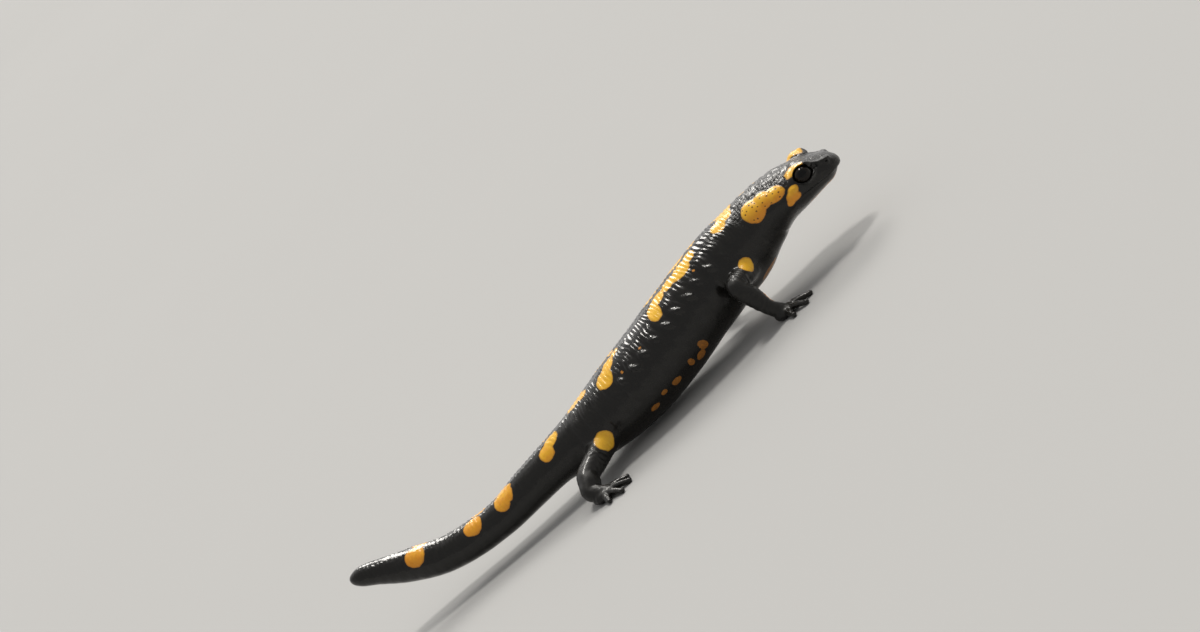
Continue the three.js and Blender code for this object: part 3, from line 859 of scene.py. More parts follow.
def leg_relief(points, lie, length):
    """How far a leg's skin stands proud: folds round it, deepest at its bend, and pebbles."""
    share = lie["length"] / length
    on_limb = fall(np.abs(lie["outside"]), 0.8, 1.6)
    folds = lie["length"] / 1.4 + 0.9 * noise(points, (3.4, 3.4, 3.4), 31)
    folds = np.abs(np.sin(math.pi * folds)) ** 0.8 - 0.6
    deep = 0.06 + 0.20 * bell(share, 0.46, 0.08) + 0.06 * bell(share, 0.78, 0.08)
    uneven = 0.6 + 0.5 * noise(points, (1.6, 1.6, 1.6), 32)
    return 2 * deep * folds * on_limb * uneven + 0.05 * noise(points, (1.0, 1.0, 1.0), 33)


def whose_skin(points):
    """How points lie on the body; and for each leg, how they lie on it and its share of the
    skin there, from 0 to 1. A leg's share grows from 0.2 mm to 1.5 mm off the body."""
    body = BODY.lie(points)
    clear = step(body["outside"], 0.2, 1.5)
    legs = {name: form.lie(points) for name, form in LEG_FORMS.items()}
    closest = np.min([lie["outside"] for lie in legs.values()], axis=0)
    on_leg = fall(closest, 1.2, 2.0)
    for lie in legs.values():
        lie["share"] = np.where(lie["outside"] == closest, clear * on_leg, 0)
    return body, legs


def star_surface(centre, axes, angles, turns, reach):
    """Points at the given reach from a centre, in directions at angles from the first axis
    and at turns round it. angles and reach are grids; the other two axes set turn 0."""
    outwards, forwards, upwards = axes
    ways = (
        np.cos(angles)[..., None] * outwards
        + (np.sin(angles) * np.cos(turns))[..., None] * forwards
        + (np.sin(angles) * np.sin(turns))[..., None] * upwards
    )
    return centre + ways * reach[..., None]


def lid_edge(turns):
    """How far the opening between the lids reaches from the eye's axis, as an angle, at
    each turn round it: a long oval, drawn out to a point at its front corner and a little
    at its rear one."""
    long, tall = 1.08, 0.88
    oval = 1 / np.sqrt((np.cos(turns) / long) ** 2 + (np.sin(turns) / tall) ** 2)
    ahead = np.abs(np.mod(turns + math.pi, 2 * math.pi) - math.pi)
    return oval * (1 + 0.27 * bell(ahead, 0, 0.26) + 0.08 * bell(ahead, math.pi, 0.25))


def mound_centre(side):
    """The middle of the lids' mound, a little nearer to the body's middle than the eye."""
    right = BODY.section(EYE_PLACE)[2][0]
    return eye_frame(side)[0] - right * side * LID_INSET


def make_lid_mound(side):
    """The mound of lids round an eye: a ball of the eye's radius and the lids' thickness."""
    centre, axes = mound_centre(side), eye_frame(side)[1:]
    radius = EYE_RADIUS + LID_THICKNESS
    angles, turns = ball_grid(0.02, 76, 132)
    grid = star_surface(centre, axes, angles, turns, np.full(angles.shape, radius))
    return add_piece(f"lids_{side}", *closed_tube(grid))


def make_eye_room(side):
    """What is cut away for an eye: a ball just larger than it, and in front a cone that
    passes through the opening between the lids."""
    centre, *axes = eye_frame(side)
    turns = circle(96)
    edge = lid_edge(turns)
    shares = np.concatenate([np.linspace(0.02, 1, 8), np.linspace(1.04, 1.98, 18)])[:, None]
    angles = np.where(shares <= 1, shares * edge, edge + (shares - 1) * (math.pi - edge))
    reach = np.where(shares <= 1, EYE_ROOM_REACH, EYE_RADIUS + EYE_ROOM_GAP) * np.ones_like(angles)
    grid = star_surface(centre, axes, angles, turns[None, :] * np.ones_like(angles), reach)
    return add_piece(f"eye_room_{side}", *closed_tube(grid))


def mouth_line(side):
    """The line of the lips on one side, from the corner of the mouth to the front: where
    the mouth's plane meets the head. In each section the plane lies drop b below the
    middle, and the outline there is half a = half width (1 - (b / depth)^n)^(1/n) away."""
    places = np.linspace(BODY.place_at_x(MOUTH_CORNER), 1, 4000)
    middle, _, right, up = BODY.section(places)
    half, _, depth = BODY.girth_at(places).T
    origin = np.array([MOUTH_FRONT[0], 0, MOUTH_FRONT[1]])
    across_tilt = right @ MOUTH_NORMAL
    below = ((middle - origin) @ MOUTH_NORMAL) / (up @ MOUTH_NORMAL)
    inside = below < depth
    power = BODY.squareness
    away = half * (1 - np.clip(below / depth, 0, 1) ** power) ** (1 / power)
    lower = below + side * away * across_tilt
    line = middle + right * (side * away)[:, None] - up * lower[:, None]
    return line[inside]


def make_mouth_cut():
    """The slit of the mouth: a flat lens carried along the lips from one corner, round the
    snout, to the other. It runs out to nothing at the corners."""
    right, left = mouth_line(RIGHT), mouth_line(LEFT)
    path = np.vstack([right, left[::-1]])
    run = np.concatenate([[0], np.cumsum(np.linalg.norm(np.diff(path, axis=0), axis=1))])
    spots = np.linspace(0, run[-1], 200)
    path = np.column_stack([np.interp(spots, run, path[:, axis]) for axis in range(3)])
    for _ in range(12):
        path[1:-1] = (path[:-2] + path[2:] + 2 * path[1:-1]) / 4
    ahead = unit(np.gradient(path, axis=0))
    out = unit(np.cross(ahead, MOUTH_NORMAL))
    share = np.linspace(0, 1, len(path))[:, None]
    taper = np.sqrt(np.clip(np.minimum(share, 1 - share) / 0.05, 0.0004, 1))
    turns = circle(16)[None, :]
    deep = SLIT_DEPTH * taper * np.cos(turns)
    tall = SLIT_HALF * taper * np.sin(turns)
    grid = path[:, None, :] + out[:, None, :] * deep[..., None] + MOUTH_NORMAL * tall[..., None]
    return add_piece("mouth_cut", *closed_tube(grid))


def nostril_frame(side):
    """The middle of a nostril on the snout's skin, the way it opens, and the skin's slopes."""
    place = BODY.place_at_x(NOSTRIL_X)
    turn = side * math.radians(NOSTRIL_DOWN)
    centre = BODY.surface(np.array([place]), np.array([turn]))[0, 0]
    ahead, right, up = (part[0] for part in BODY.section(place)[1:])
    way = unit(right * side * 0.8 + up * 0.45 + ahead * 0.35)
    aside = unit(np.cross(way, ahead))
    return centre, way, aside, np.cross(way, aside)


def make_nostril(side):
    """A nostril's hollow: a small egg set in the snout, on the end of the ridge."""
    centre, way, aside, third = nostril_frame(side)
    angles, turns = ball_grid(0.03, 14, 20)
    axes = (way, aside, third)
    ball = star_surface(np.zeros(3), axes, angles, turns, np.ones(angles.shape))
    stretch = sum(half * np.outer(axis, axis) for half, axis in zip((0.80, 0.22, 0.36), axes))
    return add_piece(f"nostril_{side}", *closed_tube(centre + ball @ stretch))


def ease_joins(skin):
    """Rounds the creases where the legs and the lids' mounds leave the body. A point takes
    part by how near it lies to both plain surfaces: the product of two bells."""
    points = read_points(skin)
    off_body = BODY.lie(points)["outside"]
    joins = np.zeros(len(points))
    for form in LEG_FORMS.values():
        off_leg = form.lie(points)["outside"]
        joins = np.maximum(joins, bell(off_body, 0.3, 1.7) * bell(off_leg, 0.4, 1.9))
    points = relax(skin, points, 0.7 * joins, 50)
    mounds = np.zeros(len(points))
    for side in (RIGHT, LEFT):
        off_middle = np.linalg.norm(points - mound_centre(side), axis=1)
        off_mound = off_middle - EYE_RADIUS - LID_THICKNESS
        mounds = np.maximum(mounds, bell(off_body, 0, 0.9) * bell(off_mound, 0, 0.8))
    write_points(skin, relax(skin, points, 0.6 * mounds, 25))


def add_relief(skin, size):
    """Moves each point along its normal by its relief: the body's and the head's, or a
    leg's, by the shares that each has in the skin there. Near both ends it fades."""
    points = read_points(skin)
    body, legs = whose_skin(points)
    on_body = 1 - np.sum([lie["share"] for lie in legs.values()], axis=0)
    height = trunk_relief(body, size) + head_relief(points, body)
    height *= on_body * step(body["radius"], 0.2, 1.4)
    for name, lie in legs.items():
        height += lie["share"] * leg_relief(points, lie, LEG_FORMS[name].length[-1])
    points = points + read_normals(skin) * height[:, None]
    points[:, 2] = np.maximum(points[:, 2], 0.0)
    write_points(skin, points)


def ease_rims(skin):
    """Softens the edges that the eyes' room leaves on the lids, by a product of two bells."""
    points = read_points(skin)
    rims = np.zeros(len(points))
    for side in (RIGHT, LEFT):
        reach, beyond, _ = round_eye(points, side)
        rims = np.maximum(rims, bell(reach, 3.0, 0.5) * bell(beyond, 0.3, 0.6))
    write_points(skin, relax(skin, points, 0.5 * rims, 7))


# ------------------------------------------------------------------------ the markings


def patch_depth(lie, turn, x, low, long, tall, tilt):
    """How far inside an oval patch's edge places lie, in millimetres, negative outside: 1 -
    sqrt(u^2 + v^2) times its smaller half, u and v being shares of its half sizes. The
    places have their turn from the back's middle, and the patch lies low degrees down."""
    forth = lie["x"] - x
    out = turn * lie["radius"] - math.radians(low) * lie["radius"]
    tilt = math.radians(tilt)
    u = (forth * math.cos(tilt) + out * math.sin(tilt)) / long
    v = (out * math.cos(tilt) - forth * math.sin(tilt)) / tall
    return (1 - np.hypot(u, v)) * min(long, tall)


def jaw_spot_depth(lie):
    """How far inside the swollen spot places lie: its ovals' depths d in one smooth whole,
    log(sum(exp(2.5 d))) / 2.5."""
    turn = np.abs(lie["turn"])
    total = np.full(len(turn), 1e-9)
    for x, low, long, tall, *_ in JAW_SPOT:
        total += np.exp(2.5 * patch_depth(lie, turn, x, low, long, tall, 0))
    return np.log(total) / 2.5


def side_patches(side):
    """The patches of one side: the list itself on the right, and on the left the same list
    with each patch moved and resized a little at random."""
    rows = np.array(PATCHES)
    if side == RIGHT:
        return rows
    rng = np.random.default_rng(LEFT_SEED)
    body_rows = rows[:, 0] < HEAD_START
    rows[:, 0] += rng.uniform(*LEFT_MOVES, len(rows)) * body_rows
    rows[:, 1] += rng.uniform(*LEFT_DROPS, len(rows)) * body_rows
    rows[:, 2:4] *= rng.uniform(*LEFT_SIZES, (len(rows), 2))
    rows[:, 4] += rng.uniform(*LEFT_TILTS, len(rows))
    return rows


def add_value(piece, name, values):
    """Stores one number, or one vector, for each point of the piece."""
    kind, key = ("FLOAT", "value") if values.ndim == 1 else ("FLOAT_VECTOR", "vector")
    attribute = piece.data.attributes.new(name, kind, "POINT")
    attribute.data.foreach_set(key, np.ascontiguousarray(values, np.float32).ravel())


def lid_patch(points, side):
    """How far inside the bright part of the lids places lie. On the right it is the brow, a
    bent band as seen from the side. On the left it is all of the lids but their edge and
    their underside: the log-sum of its limits, -log(sum(exp(-2.5 d))) / 2.5. The wall that
    faces the eye stays dark."""
    reach, beyond, about = round_eye(points, side)
    if side == RIGHT:
        forth, over = side_view(points, side)
        middle, half = (np.interp(forth, BROW[0], row) for row in BROW[1:])
        ends = np.minimum(forth - BROW_ENDS[0], BROW_ENDS[1] - forth)
        depth = np.minimum(half - np.abs(over - middle), ends)
    else:
        first, last = np.radians(LEFT_LID_TURNS)
        low, high = LEFT_LID_BEYOND
        across = (EYE_RADIUS + LID_THICKNESS) * np.array([about - first, last - about])
        limits = np.array([beyond - low, high - beyond, *across, LEFT_LID_REACH - reach])
        depth = -np.log(np.exp(-2.5 * np.clip(limits, -9, 9)).sum(axis=0)) / 2.5
    return np.minimum(depth, np.minimum(LID_REACH - reach, 3 * (reach - LID_WALL)))


def mark_skin(piece):
    """Stores, for each point: how far inside a patch it lies, how orange that patch is (lower
    places more orange and darker, partly as painted shade), how far inside a large gland, its
    shares on the body, under it, on the wrinkled crown and on sleek skin, and its place on the
    straightened animal and on its skin laid flat."""
    points = read_points(piece)
    body, legs = whose_skin(points)
    on_body = 1 - np.sum([lie["share"] for lie in legs.values()], axis=0)
    depth = np.full(len(points), -3.0)
    warmth, weight = np.zeros(len(points)), np.full(len(points), 1e-9)

    def add(values, heat_and_shade, where):
        strength = np.where(where, np.exp(3 * np.clip(values, -3, 1)), 0)
        warmth[:] = warmth + strength * heat_and_shade
        weight[:] = weight + strength
        depth[:] = np.where(where, np.maximum(depth, values), depth)

    down = body["down"]
    for side in (RIGHT, LEFT):
        turn = body["turn"] * side
        mine = (on_body > 0.5) & (turn > 0)
        # Each patch, gland lobe and the swollen spot grows warmer and darker the lower it lies:
        # partly its own colour, partly painted shade.
        for *row, heat_and_shade in side_patches(side):
            warm_and_shaded = heat_and_shade + WARMER_SHADED_PATCH * (down - row[1])
            add(patch_depth(body, turn, *row), warm_and_shaded, (on_body > 0.5) & (turn > -1.2))
        for x, low, long, tall, _ in GLAND_LOBES:
            warm_and_shaded = GLAND_WARMTH + WARMER_SHADED_GLAND * (down - low)
            add(patch_depth(body, turn, x, low, long, tall, 0), warm_and_shaded, mine)
        add(jaw_spot_depth(body), SPOT_WARMTH + WARMER_SHADED_SPOT * (down - SPOT_DOWN), mine)
        add(lid_patch(points, side), 0.06, on_body > 0.5)
    for name, lie in legs.items():
        form, side = LEG_FORMS[name], LEGS[name][1]
        for share, round_by, long, wide, heat_and_shade in LEG_PATCHES[name]:
            place = np.interp(share, form.length / form.length[-1], form.places)
            turn = math.radians(round_by) * side
            offset = points - form.surface(np.array([place]), np.array([turn]))[0, 0]
            forth = offset @ form.section(place)[1][0]
            aside = np.sqrt(np.maximum((offset**2).sum(axis=1) - forth**2, 0))
            add((1 - np.hypot(forth / long, aside / wide)) * min(long, wide), heat_and_shade, True)

    beside = body["width"] - math.radians(GLAND_LOBES[0][1]) * body["radius"]
    glands = np.max([(1 - np.sqrt(share)) * 2.8 for _, share in gland_shares(body)], axis=0)
    sleek = np.maximum(gland_share(body), near_lids(points))
    sleek = np.maximum(sleek, step(down, 66, 96) * (body["x"] > -30))
    crown = band(body["x"], 54, 84, 3) * fall(down, 42, 78) * (1 - sleek)
    crown *= 1 - 0.7 * step(body["x"], 68, 73)
    add_value(piece, "patch", depth)
    add_value(piece, "warmth", warmth / weight)
    add_value(piece, "gland", glands)
    add_value(piece, "on_body", on_body)
    add_value(piece, "under", step(down, 110, 160) * on_body)
    add_value(piece, "crown", crown)
    add_value(piece, "sleek", sleek)
    add_value(piece, "lie", body["straight"])
    add_value(piece, "flat", np.column_stack([body["length"], beside, 0 * beside]))


# --------------------------------------------------------------------------- materials


class Nodes:
    """A material's nodes, made one after another. Most steps return the socket they give."""

    def __init__(self, name):
        self.material = bpy.data.materials.new(name)
        self.material.use_nodes = True
        self.tree = self.material.node_tree
        self.tree.nodes.clear()
        self.shader = self.add("ShaderNodeBsdfPrincipled")
        output = self.add("ShaderNodeOutputMaterial")
        self.link(self.shader.outputs["BSDF"], output.inputs["Surface"])

    def add(self, kind, inputs=None, **settings):
        """A node of this kind, with its settings, and its inputs set or linked."""
        node = self.tree.nodes.new(kind)
        for name, value in settings.items():
            setattr(node, name, value)
        for name, value in (inputs or {}).items():
            if isinstance(value, bpy.types.NodeSocket):
                self.link(value, node.inputs[name])
            else:
                node.inputs[name].default_value = value
        return node

    def link(self, source, target):
        self.tree.links.new(source, target)

    def attribute(self, name, output="Fac"):
        return self.add("ShaderNodeAttribute", attribute_name=name).outputs[output]

    def math(self, operation, one, two=0.0, three=0.0):
        node = self.add("ShaderNodeMath", {0: one, 1: two, 2: three}, operation=operation)
        return node.outputs[0]

    def times(self, one, two):
        return self.math("MULTIPLY", one, two)

    def plus(self, first, *others):
        for other in others:
            first = self.math("ADD", first, other)
        return first

    def spread(self, value, scale):
        """The value, from 0 to 1, as a change of the given size about nothing."""
        return self.math("MULTIPLY_ADD", value, scale, -scale / 2)

    def set(self, **values):
        """Sets sockets of the shader, with _ in their names for a space."""
        for name, value in values.items():
            self.shader.inputs[name.replace("_", " ")].default_value = value

    def give(self, name, value):
        """Links a value to a socket of the shader."""
        self.link(value, self.shader.inputs[name])

    def ramp(self, value, low, high, start=0.0, end=1.0):
        """start below low, end above high, and eased between."""
        ends = {"From Min": low, "From Max": high, "To Min": start, "To Max": end}
        node = self.add("ShaderNodeMapRange", ends, interpolation_type="SMOOTHSTEP")
        self.link(value, node.inputs["Value"])
        return node.outputs[0]

    def mix(self, share, one, two):
        node = self.add("ShaderNodeMix", data_type="RGBA")
        for socket, value in ((0, share), (6, one), (7, two)):
            if isinstance(value, bpy.types.NodeSocket):
                self.link(value, node.inputs[socket])
            else:
                node.inputs[socket].default_value = value
        return node.outputs[2]

    def millimetres(self):
        """Object coordinates, in millimetres."""
        where = self.add("ShaderNodeTexCoord").outputs["Object"]
        return self.add("ShaderNodeMapping", {"Vector": where, "Scale": (1 / MM,) * 3}).outputs[0]

    def noise(self, vector, scale, detail=2.0, stretch=None):
        if stretch:
            vector = self.add("ShaderNodeMapping", {"Vector": vector, "Scale": stretch}).outputs[0]
        places = {"Vector": vector, "Scale": scale, "Detail": detail}
        return self.add("ShaderNodeTexNoise", places).outputs[0]

    def bump(self, height, strength, distance, normal=None):
        inputs = {"Height": height, "Strength": strength, "Distance": distance * MM}
        if normal:
            inputs["Normal"] = normal
        return self.add("ShaderNodeBump", inputs).outputs[0]


def colour(rgb):
    return (*rgb, 1.0)


def skin_material(look):
    """Wet near-black skin, with patches from yellow to dull orange; the dull orange, low on the
    body, is partly the patches' own colour and partly painted shade. A point is in a patch
    where its depth, made uneven by noise, is above zero. Pores are the middles of cells."""
    made = Nodes("moist_skin")
    where = made.millimetres()
    broad, fine = made.noise(where, 0.50, 1.0), made.noise(where, 1.9, 1.0)
    depth = made.plus(made.attribute("patch"), made.spread(broad, 0.6))
    depth = made.plus(depth, made.spread(fine, 0.16))
    inside = made.ramp(depth, -0.08, 0.10)

    shade = made.math("MULTIPLY_ADD", made.attribute("under"), 0.9, made.noise(where, 1.2, 3.0))
    dark = made.mix(made.ramp(shade, 0.35, 1.1), colour(look.black), colour(look.brown_black))
    # Warmth also carries painted shade: the high values, low on the body, pass to the darker dull
    # orange.
    warmth = made.plus(made.attribute("warmth"), made.spread(broad, 0.3))
    bright = made.mix(made.ramp(warmth, 0.0, 0.45), colour(look.yellow), colour(look.amber))
    # The darker dull orange is partly the low patches' own colour, partly painted shade.
    bright = made.mix(made.ramp(warmth, 0.45, 0.95), bright, colour(look.shaded_dull_orange))
    mottle = made.ramp(made.noise(where, 1.8, 4.0), 0.40, 0.75)
    bright = made.mix(made.times(mottle, 0.25), bright, colour(look.amber))
    rim = made.ramp(depth, 0.0, 0.45, 1.0, 0.0)
    bright = made.mix(made.times(rim, 0.6), bright, colour(look.rim_brown))

    places = {"Vector": made.attribute("flat", "Vector"), "Scale": 0.70, "Randomness": 0.70}
    cells = made.add("ShaderNodeTexVoronoi", places, voronoi_dimensions="2D").outputs
    pick = made.add("ShaderNodeSeparateColor", {0: cells["Color"]}).outputs
    wide = made.math("MULTIPLY_ADD", pick[1], 0.06, 0.13)
    off_edge = made.math("SUBTRACT", cells["Distance"], wide)
    pore = made.times(made.ramp(off_edge, -0.06, 0.05, 1.0, 0.0), made.ramp(pick[0], 0.22, 0.24))
    pore = made.times(pore, made.ramp(made.attribute("gland"), 0.25, 0.60))
    bright = made.mix(made.times(pore, 0.93), bright, colour(look.pore_brown))
    made.give("Base Color", made.mix(inside, dark, bright))

    crown, sleek, on_body = (made.attribute(name) for name in ("crown", "sleek", "on_body"))
    roughness = made.ramp(made.noise(where, 0.45, 3.0), 0.3, 0.7, 0.13, 0.26)
    roughness = made.plus(roughness, made.times(inside, 0.05), made.times(sleek, 0.10))
    roughness = made.plus(roughness, made.ramp(crown, 0.0, 0.3, 0.0, 0.11))
    made.give("Roughness", made.plus(roughness, made.ramp(on_body, 0.0, 1.0, 0.14, 0.0)))

    streaks = made.noise(made.attribute("lie", "Vector"), 0.9, 3.0, stretch=(2.2, 0.5, 0.5))
    streaks = made.times(made.times(streaks, on_body), made.ramp(sleek, 0.0, 1.0, 1.0, 0.15))
    places = {"Vector": where, "Scale": 2.4}
    grain = made.add("ShaderNodeTexVoronoi", places, feature="SMOOTH_F1").outputs["Distance"]
    maze = made.math("ABSOLUTE", made.math("SUBTRACT", made.noise(where, 0.95, 0.6), 0.5))
    unmarked = made.math("SUBTRACT", 1.0, inside)
    maze = made.times(made.times(made.ramp(maze, 0.0, 0.15), crown), unmarked)
    normal = None
    for height, strength, distance in (
        (streaks, 0.6, 0.18),
        (maze, 0.8, 0.13),
        (grain, 0.20, 0.07),
        (made.noise(where, 6.0, 1.0), 0.10, 0.03),
        (pore, 0.25, -0.08),
    ):
        normal = made.bump(height, strength, distance, normal)
    made.give("Normal", normal)

    made.set(Specular_IOR_Level=0.30)
    made.set(Coat_Weight=look.wet_film, Coat_Roughness=0.07, Coat_IOR=1.33)
    return made.material


def eye_material(look):
    """A dark brown iris round a black pupil, under a clear wet surface. The eye's own
    attribute says how far, as an angle, a place is from its axis."""
    made = Nodes("wet_eye")
    angle = made.attribute("off_axis")
    where = made.add("ShaderNodeTexCoord").outputs["Object"]
    fleck = made.noise(where, 2600.0, 4.0)
    iris = made.mix(made.ramp(fleck, 0.42, 0.68), colour(look.iris_dark), colour(look.iris_light))
    edge = made.plus(angle, made.spread(fleck, 0.04))
    shade = made.mix(made.ramp(edge, 0.44, 0.48), colour((0.002, 0.002, 0.002)), iris)
    shade = made.mix(made.ramp(edge, 0.86, 0.98), shade, colour(look.black))
    made.give("Base Color", shade)
    film = made.noise(where, 900.0, 2.0)
    made.give("Roughness", made.ramp(film, 0.2, 0.8, 0.04, 0.09))
    made.give("Normal", made.bump(film, 0.05, 0.02))
    made.set(Specular_IOR_Level=0.22)
    return made.material


def floor_material(look):
    """Plain pale floor, with the faintest unevenness."""
    made = Nodes("pale_floor")
    where = made.add("ShaderNodeTexCoord").outputs["Object"]
    darker = [part * 0.96 for part in look.floor]
    shade = made.mix(made.noise(where, 3.0, 3.0), colour(look.floor), colour(darker))
    made.give("Base Color", shade)
    made.set(Roughness=0.85)
    return made.material


# ---------------------------------------------------------------------------- settings


def a_number(name, description, default, kind=bpy.props.FloatProperty, **more):
    """A setting of the panel, never below zero unless it says otherwise."""
    return kind(name=name, description=description, default=default, **{"min": 0, **more})


def a_length(name, description, default):
    """A length, in millimetres."""
    return a_number(name, description, default, precision=3)


def an_angle(name, description, degrees, least=0):
    return a_number(name, description, math.radians(degrees), subtype="ANGLE", min=least)


def a_colour(name, description, default):
    vector = bpy.props.FloatVectorProperty
    return a_number(name, description, default, vector, subtype="COLOR", max=1)


def a_count(name, description, default, least):
    return a_number(name, description, default, bpy.props.IntProperty, min=least)


class SalamanderSkin(bpy.types.PropertyGroup):
    """The sizes of the skin's relief and mesh, in millimetres."""

    groove_spacing: a_length("Groove spacing", "From one groove on the flank to the next", 4.35)
    groove_depth: a_length("Groove depth", "Depth of the grooves between the ribs", 0.18)
    gland_height: a_length("Flank gland height", "How proud the glands on the flank stand", 0.85)
    crease_spacing: a_length("Crease spacing", "From one fine crease to the next", 1.15)
    crease_depth: a_length("Crease depth", "Half the depth of the fine creases", 0.16)
    leg_voxel: a_length("Leg squares", "Size of the squares of the legs' surface", 0.30)
    body_sides: a_count("Sides", "Points round the body", 112, 24)
    triangles: a_count("Triangles", "The most in the skin before it is cut", 184000, 5000)
    detail: a_number("Coarseness", "Above 1, a coarser and quicker skin", 1.0, min=1)


class SalamanderLook(bpy.types.PropertyGroup):
    """The animal's colours and its wetness, and the floor's colour."""

    black: a_colour("Black", "Most of the skin", (0.0060, 0.0056, 0.0048))
    brown_black: a_colour("Brown black", "The skin's warmer places", (0.015, 0.013, 0.010))
    yellow: a_colour("Yellow", "Patches on the back", (0.88, 0.50, 0.030))
    amber: a_colour("Amber", "Patches lower on the side", (0.80, 0.31, 0.020))
    # Partly the low patches' own duller orange, partly painted shade under the flank and throat.
    shaded_dull_orange: a_colour("Dull orange", "Patches under the flank and throat", (0.26, 0.10, 0.018))
    rim_brown: a_colour("Rim", "The edge of each patch", (0.34, 0.13, 0.015))
    pore_brown: a_colour("Pore", "The pores of the neck glands", (0.085, 0.022, 0.006))
    iris_dark: a_colour("Dark iris", "Most of the iris", (0.006, 0.0045, 0.0035))
    iris_light: a_colour("Light iris", "Flecks in the iris", (0.011, 0.007, 0.004))
    floor: a_colour("Floor", "The pale floor", (0.41, 0.41, 0.405))
    wet_film: a_number("Wet film", "Weight of the water on the skin", 0.35, max=1)


class SalamanderStage(bpy.types.PropertyGroup):
    """The camera and the lights. A light's size is how wide it looks from the floor."""

    elevation: an_angle("Elevation", "Camera's height over the floor, as an angle", 13.5)
    roll: an_angle("Roll", "Camera's turn, as for an animal on a slope", -45, least=-math.pi)
    distance: a_number("Distance", "From the camera to the animal", 1.0, unit="LENGTH")
    lens: a_number("Lens", "Focal length", 117.0, unit="CAMERA")
    key_strength: a_number("Key light", "Strength of the high light behind", 1.45)
    key_size: an_angle("Key size", "Size of the high light behind", 12)
    rim_strength: a_number("Rim light", "Strength of the low light behind", 1.1)
    rim_size: an_angle("Rim size", "Size of the low light behind", 20)
    fore_strength: a_number("Fore light", "Strength of the light ahead", 0.85)
    fore_size: an_angle("Fore size", "Size of the light ahead", 22)
    sky: a_number("Sky", "Strength of the light from all round", 0.42)
    back_glow: a_number("Back glow", "Strength of the sky low behind", 0.85)


# --------------------------------------------------------------------------- operators


class SALAMANDER_OT_skin(bpy.types.Operator):
    """Builds the one skin that covers the body, the legs and the lids"""

    bl_idname = "salamander.skin"
    bl_label = "Skin"

    def execute(self, context):
        size = context.scene.salamander_skin
        skin = make_body(size)
        skin.name = skin.data.name = "salamander_skin"
        combine(skin, [make_leg(name, size) for name in LEGS], "UNION")
        combine(skin, [make_lid_mound(side) for side in (RIGHT, LEFT)], "UNION")
        ease_joins(skin)
        add_relief(skin, size)
        thin_out(skin, size.triangles)
        cuts = [make_eye_room(side) for side in (RIGHT, LEFT)] + [make_mouth_cut()]
        cuts += [make_nostril(side) for side in (RIGHT, LEFT)]
        combine(skin, cuts, "DIFFERENCE")
        drop_bubbles(skin)
        ease_rims(skin)
        skin.data.shade_smooth()
        mark_skin(skin)
        skin.data.materials.clear()
        skin.data.materials.append(skin_material(context.scene.salamander_look))
        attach(skin, "root")
        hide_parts(*[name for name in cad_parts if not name.startswith("eye")])
        return {"FINISHED"}


class SALAMANDER_OT_eyes(bpy.types.Operator):
    """Builds both eyes as fine, wet balls that look out between the lids"""

    bl_idname = "salamander.eyes"
    bl_label = "Eyes"

    def execute(self, context):
        material = eye_material(context.scene.salamander_look)
        for side, name in ((RIGHT, "eye_right"), (LEFT, "eye_left")):
            centre, *axes = eye_frame(side)
            angles, turns = ball_grid(0.01, 72, 96)
            swell = EYE_RADIUS * (1 + EYE_SWELL * bell(angles, 0, EYE_SWELL_ANGLE)) - EYE_SLACK
            grid = star_surface(centre, axes, angles, turns, swell)
            points, faces = closed_tube(grid)
            eye = add_piece(f"{name}_wet", points, faces)
            offset = unit(points - centre)
            add_value(eye, "off_axis", np.arccos(np.clip(offset @ axes[0], -1, 1)))
            eye.data.materials.append(material)
            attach(eye, "root")
            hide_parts(name)
        return {"FINISHED"}


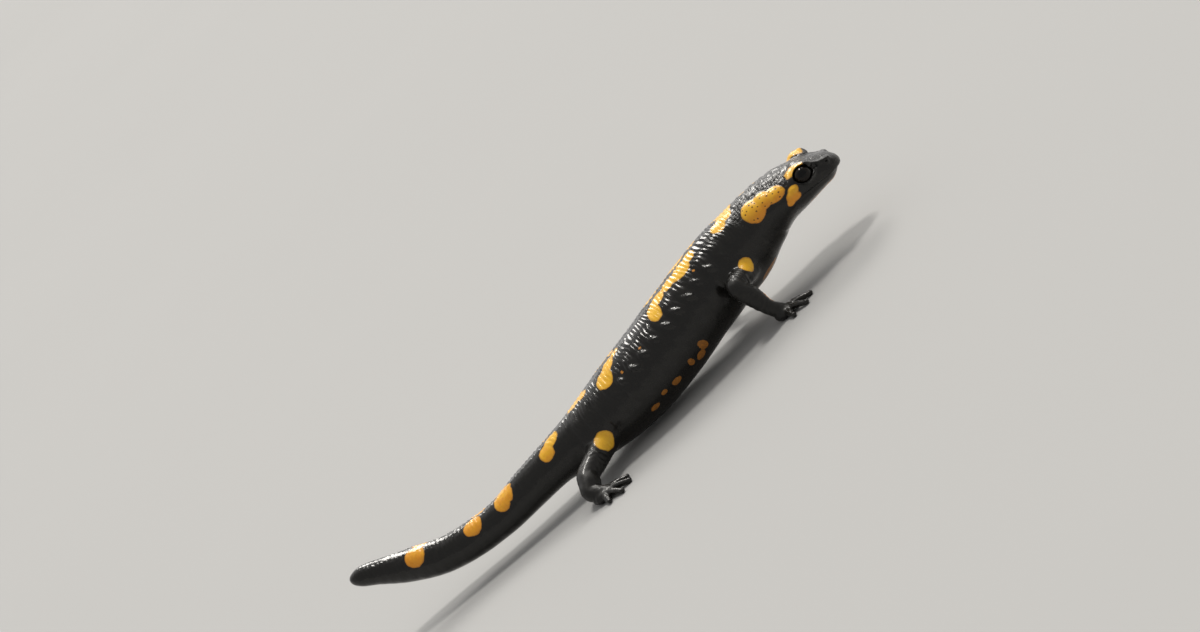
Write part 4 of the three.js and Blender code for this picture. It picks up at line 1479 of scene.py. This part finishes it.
class SALAMANDER_OT_stage(bpy.types.Operator):
    """Lays the pale floor, hangs the soft lights and sets the camera"""

    bl_idname = "salamander.stage"
    bl_label = "Stage"

    def execute(self, context):
        stage, look = context.scene.salamander_stage, context.scene.salamander_look
        mesh = bpy.data.meshes.new("floor")
        signs = ((-1, -1), (1, -1), (1, 1), (-1, 1))
        corners = [(x * FLOOR_HALF, y * FLOOR_HALF, 0) for x, y in signs]
        mesh.from_pydata(corners, [], [(0, 1, 2, 3)])
        floor = bpy.data.objects.new("floor", mesh)
        context.scene.collection.objects.link(floor)
        mesh.materials.append(floor_material(look))

        world = bpy.data.worlds.new("soft_sky")
        world.use_nodes = True
        nodes, link = world.node_tree.nodes, world.node_tree.links.new
        towards, glow = nodes.new("ShaderNodeVectorMath"), nodes.new("ShaderNodeMapRange")
        towards.operation, glow.interpolation_type = "DOT_PRODUCT", "SMOOTHSTEP"
        link(nodes.new("ShaderNodeTexCoord").outputs["Generated"], towards.inputs[0])
        towards.inputs[1].default_value = TO_GLOW
        link(towards.outputs["Value"], glow.inputs["Value"])
        ends = (*GLOW_EDGES, stage.sky, stage.back_glow)
        for name, value in zip(("From Min", "From Max", "To Min", "To Max"), ends):
            glow.inputs[name].default_value = value
        nodes["Background"].inputs["Color"].default_value = SKY_COLOUR
        link(glow.outputs["Result"], nodes["Background"].inputs["Strength"])
        context.scene.world = world

        for name, towards in (("key", TO_KEY), ("rim", TO_RIM), ("fore", TO_FORE)):
            lamp = bpy.data.lights.new(name, "SUN")
            lamp.energy = getattr(stage, f"{name}_strength")
            lamp.angle = getattr(stage, f"{name}_size")
            lamp.color = LAMP_COLOUR
            light = bpy.data.objects.new(name, lamp)
            light.rotation_euler = Vector(towards).to_track_quat("Z", "Y").to_euler()
            context.scene.collection.objects.link(light)
        context.scene.view_settings.view_transform = "Standard"

        camera = bpy.data.objects.new("camera", bpy.data.cameras.new("camera"))
        context.scene.collection.objects.link(camera)
        camera.data.lens, camera.data.sensor_width = stage.lens, 36.0
        camera.data.dof.use_dof = False
        look_at = Vector((SHIFT + LOOK_AT) * MM)
        low, turn = math.cos(stage.elevation), math.sin(stage.elevation)
        back = Vector((0, -low, turn))
        camera.location = look_at + back * stage.distance
        level = (-back).to_track_quat("-Z", "Y").to_matrix().to_4x4()
        roll = Matrix.Rotation(stage.roll, 4, "Z")
        camera.matrix_world = Matrix.Translation(camera.location) @ level @ roll
        context.scene.camera = camera
        return {"FINISHED"}


class SALAMANDER_PT_panel(bpy.types.Panel):
    """The salamander's sizes, colours and steps"""

    bl_label = "Salamander"
    bl_idname = "SALAMANDER_PT_panel"
    bl_space_type = "VIEW_3D"
    bl_region_type = "UI"
    bl_category = "Salamander"

    def draw(self, context):
        for group in ("salamander_skin", "salamander_look", "salamander_stage"):
            box = self.layout.box()
            settings = getattr(context.scene, group)
            for name in settings.bl_rna.properties.keys():
                if name not in ("rna_type", "name"):
                    box.prop(settings, name)
        for operator in ("salamander.skin", "salamander.eyes", "salamander.stage"):
            self.layout.operator(operator)


GROUPS = {
    "salamander_skin": SalamanderSkin,
    "salamander_look": SalamanderLook,
    "salamander_stage": SalamanderStage,
}
OPERATORS = (SALAMANDER_OT_skin, SALAMANDER_OT_eyes, SALAMANDER_OT_stage)
CLASSES = (*GROUPS.values(), *OPERATORS, SALAMANDER_PT_panel)


def register():
    for kind in CLASSES:
        bpy.utils.register_class(kind)
    for name, kind in GROUPS.items():
        setattr(bpy.types.Scene, name, bpy.props.PointerProperty(type=kind))


def unregister():
    for name in GROUPS:
        delattr(bpy.types.Scene, name)
    for kind in reversed(CLASSES):
        bpy.utils.unregister_class(kind)


def main():
    register()
    bpy.ops.salamander.skin()
    bpy.ops.salamander.eyes()
    bpy.ops.salamander.stage()


if __name__ == "__main__":
    main()
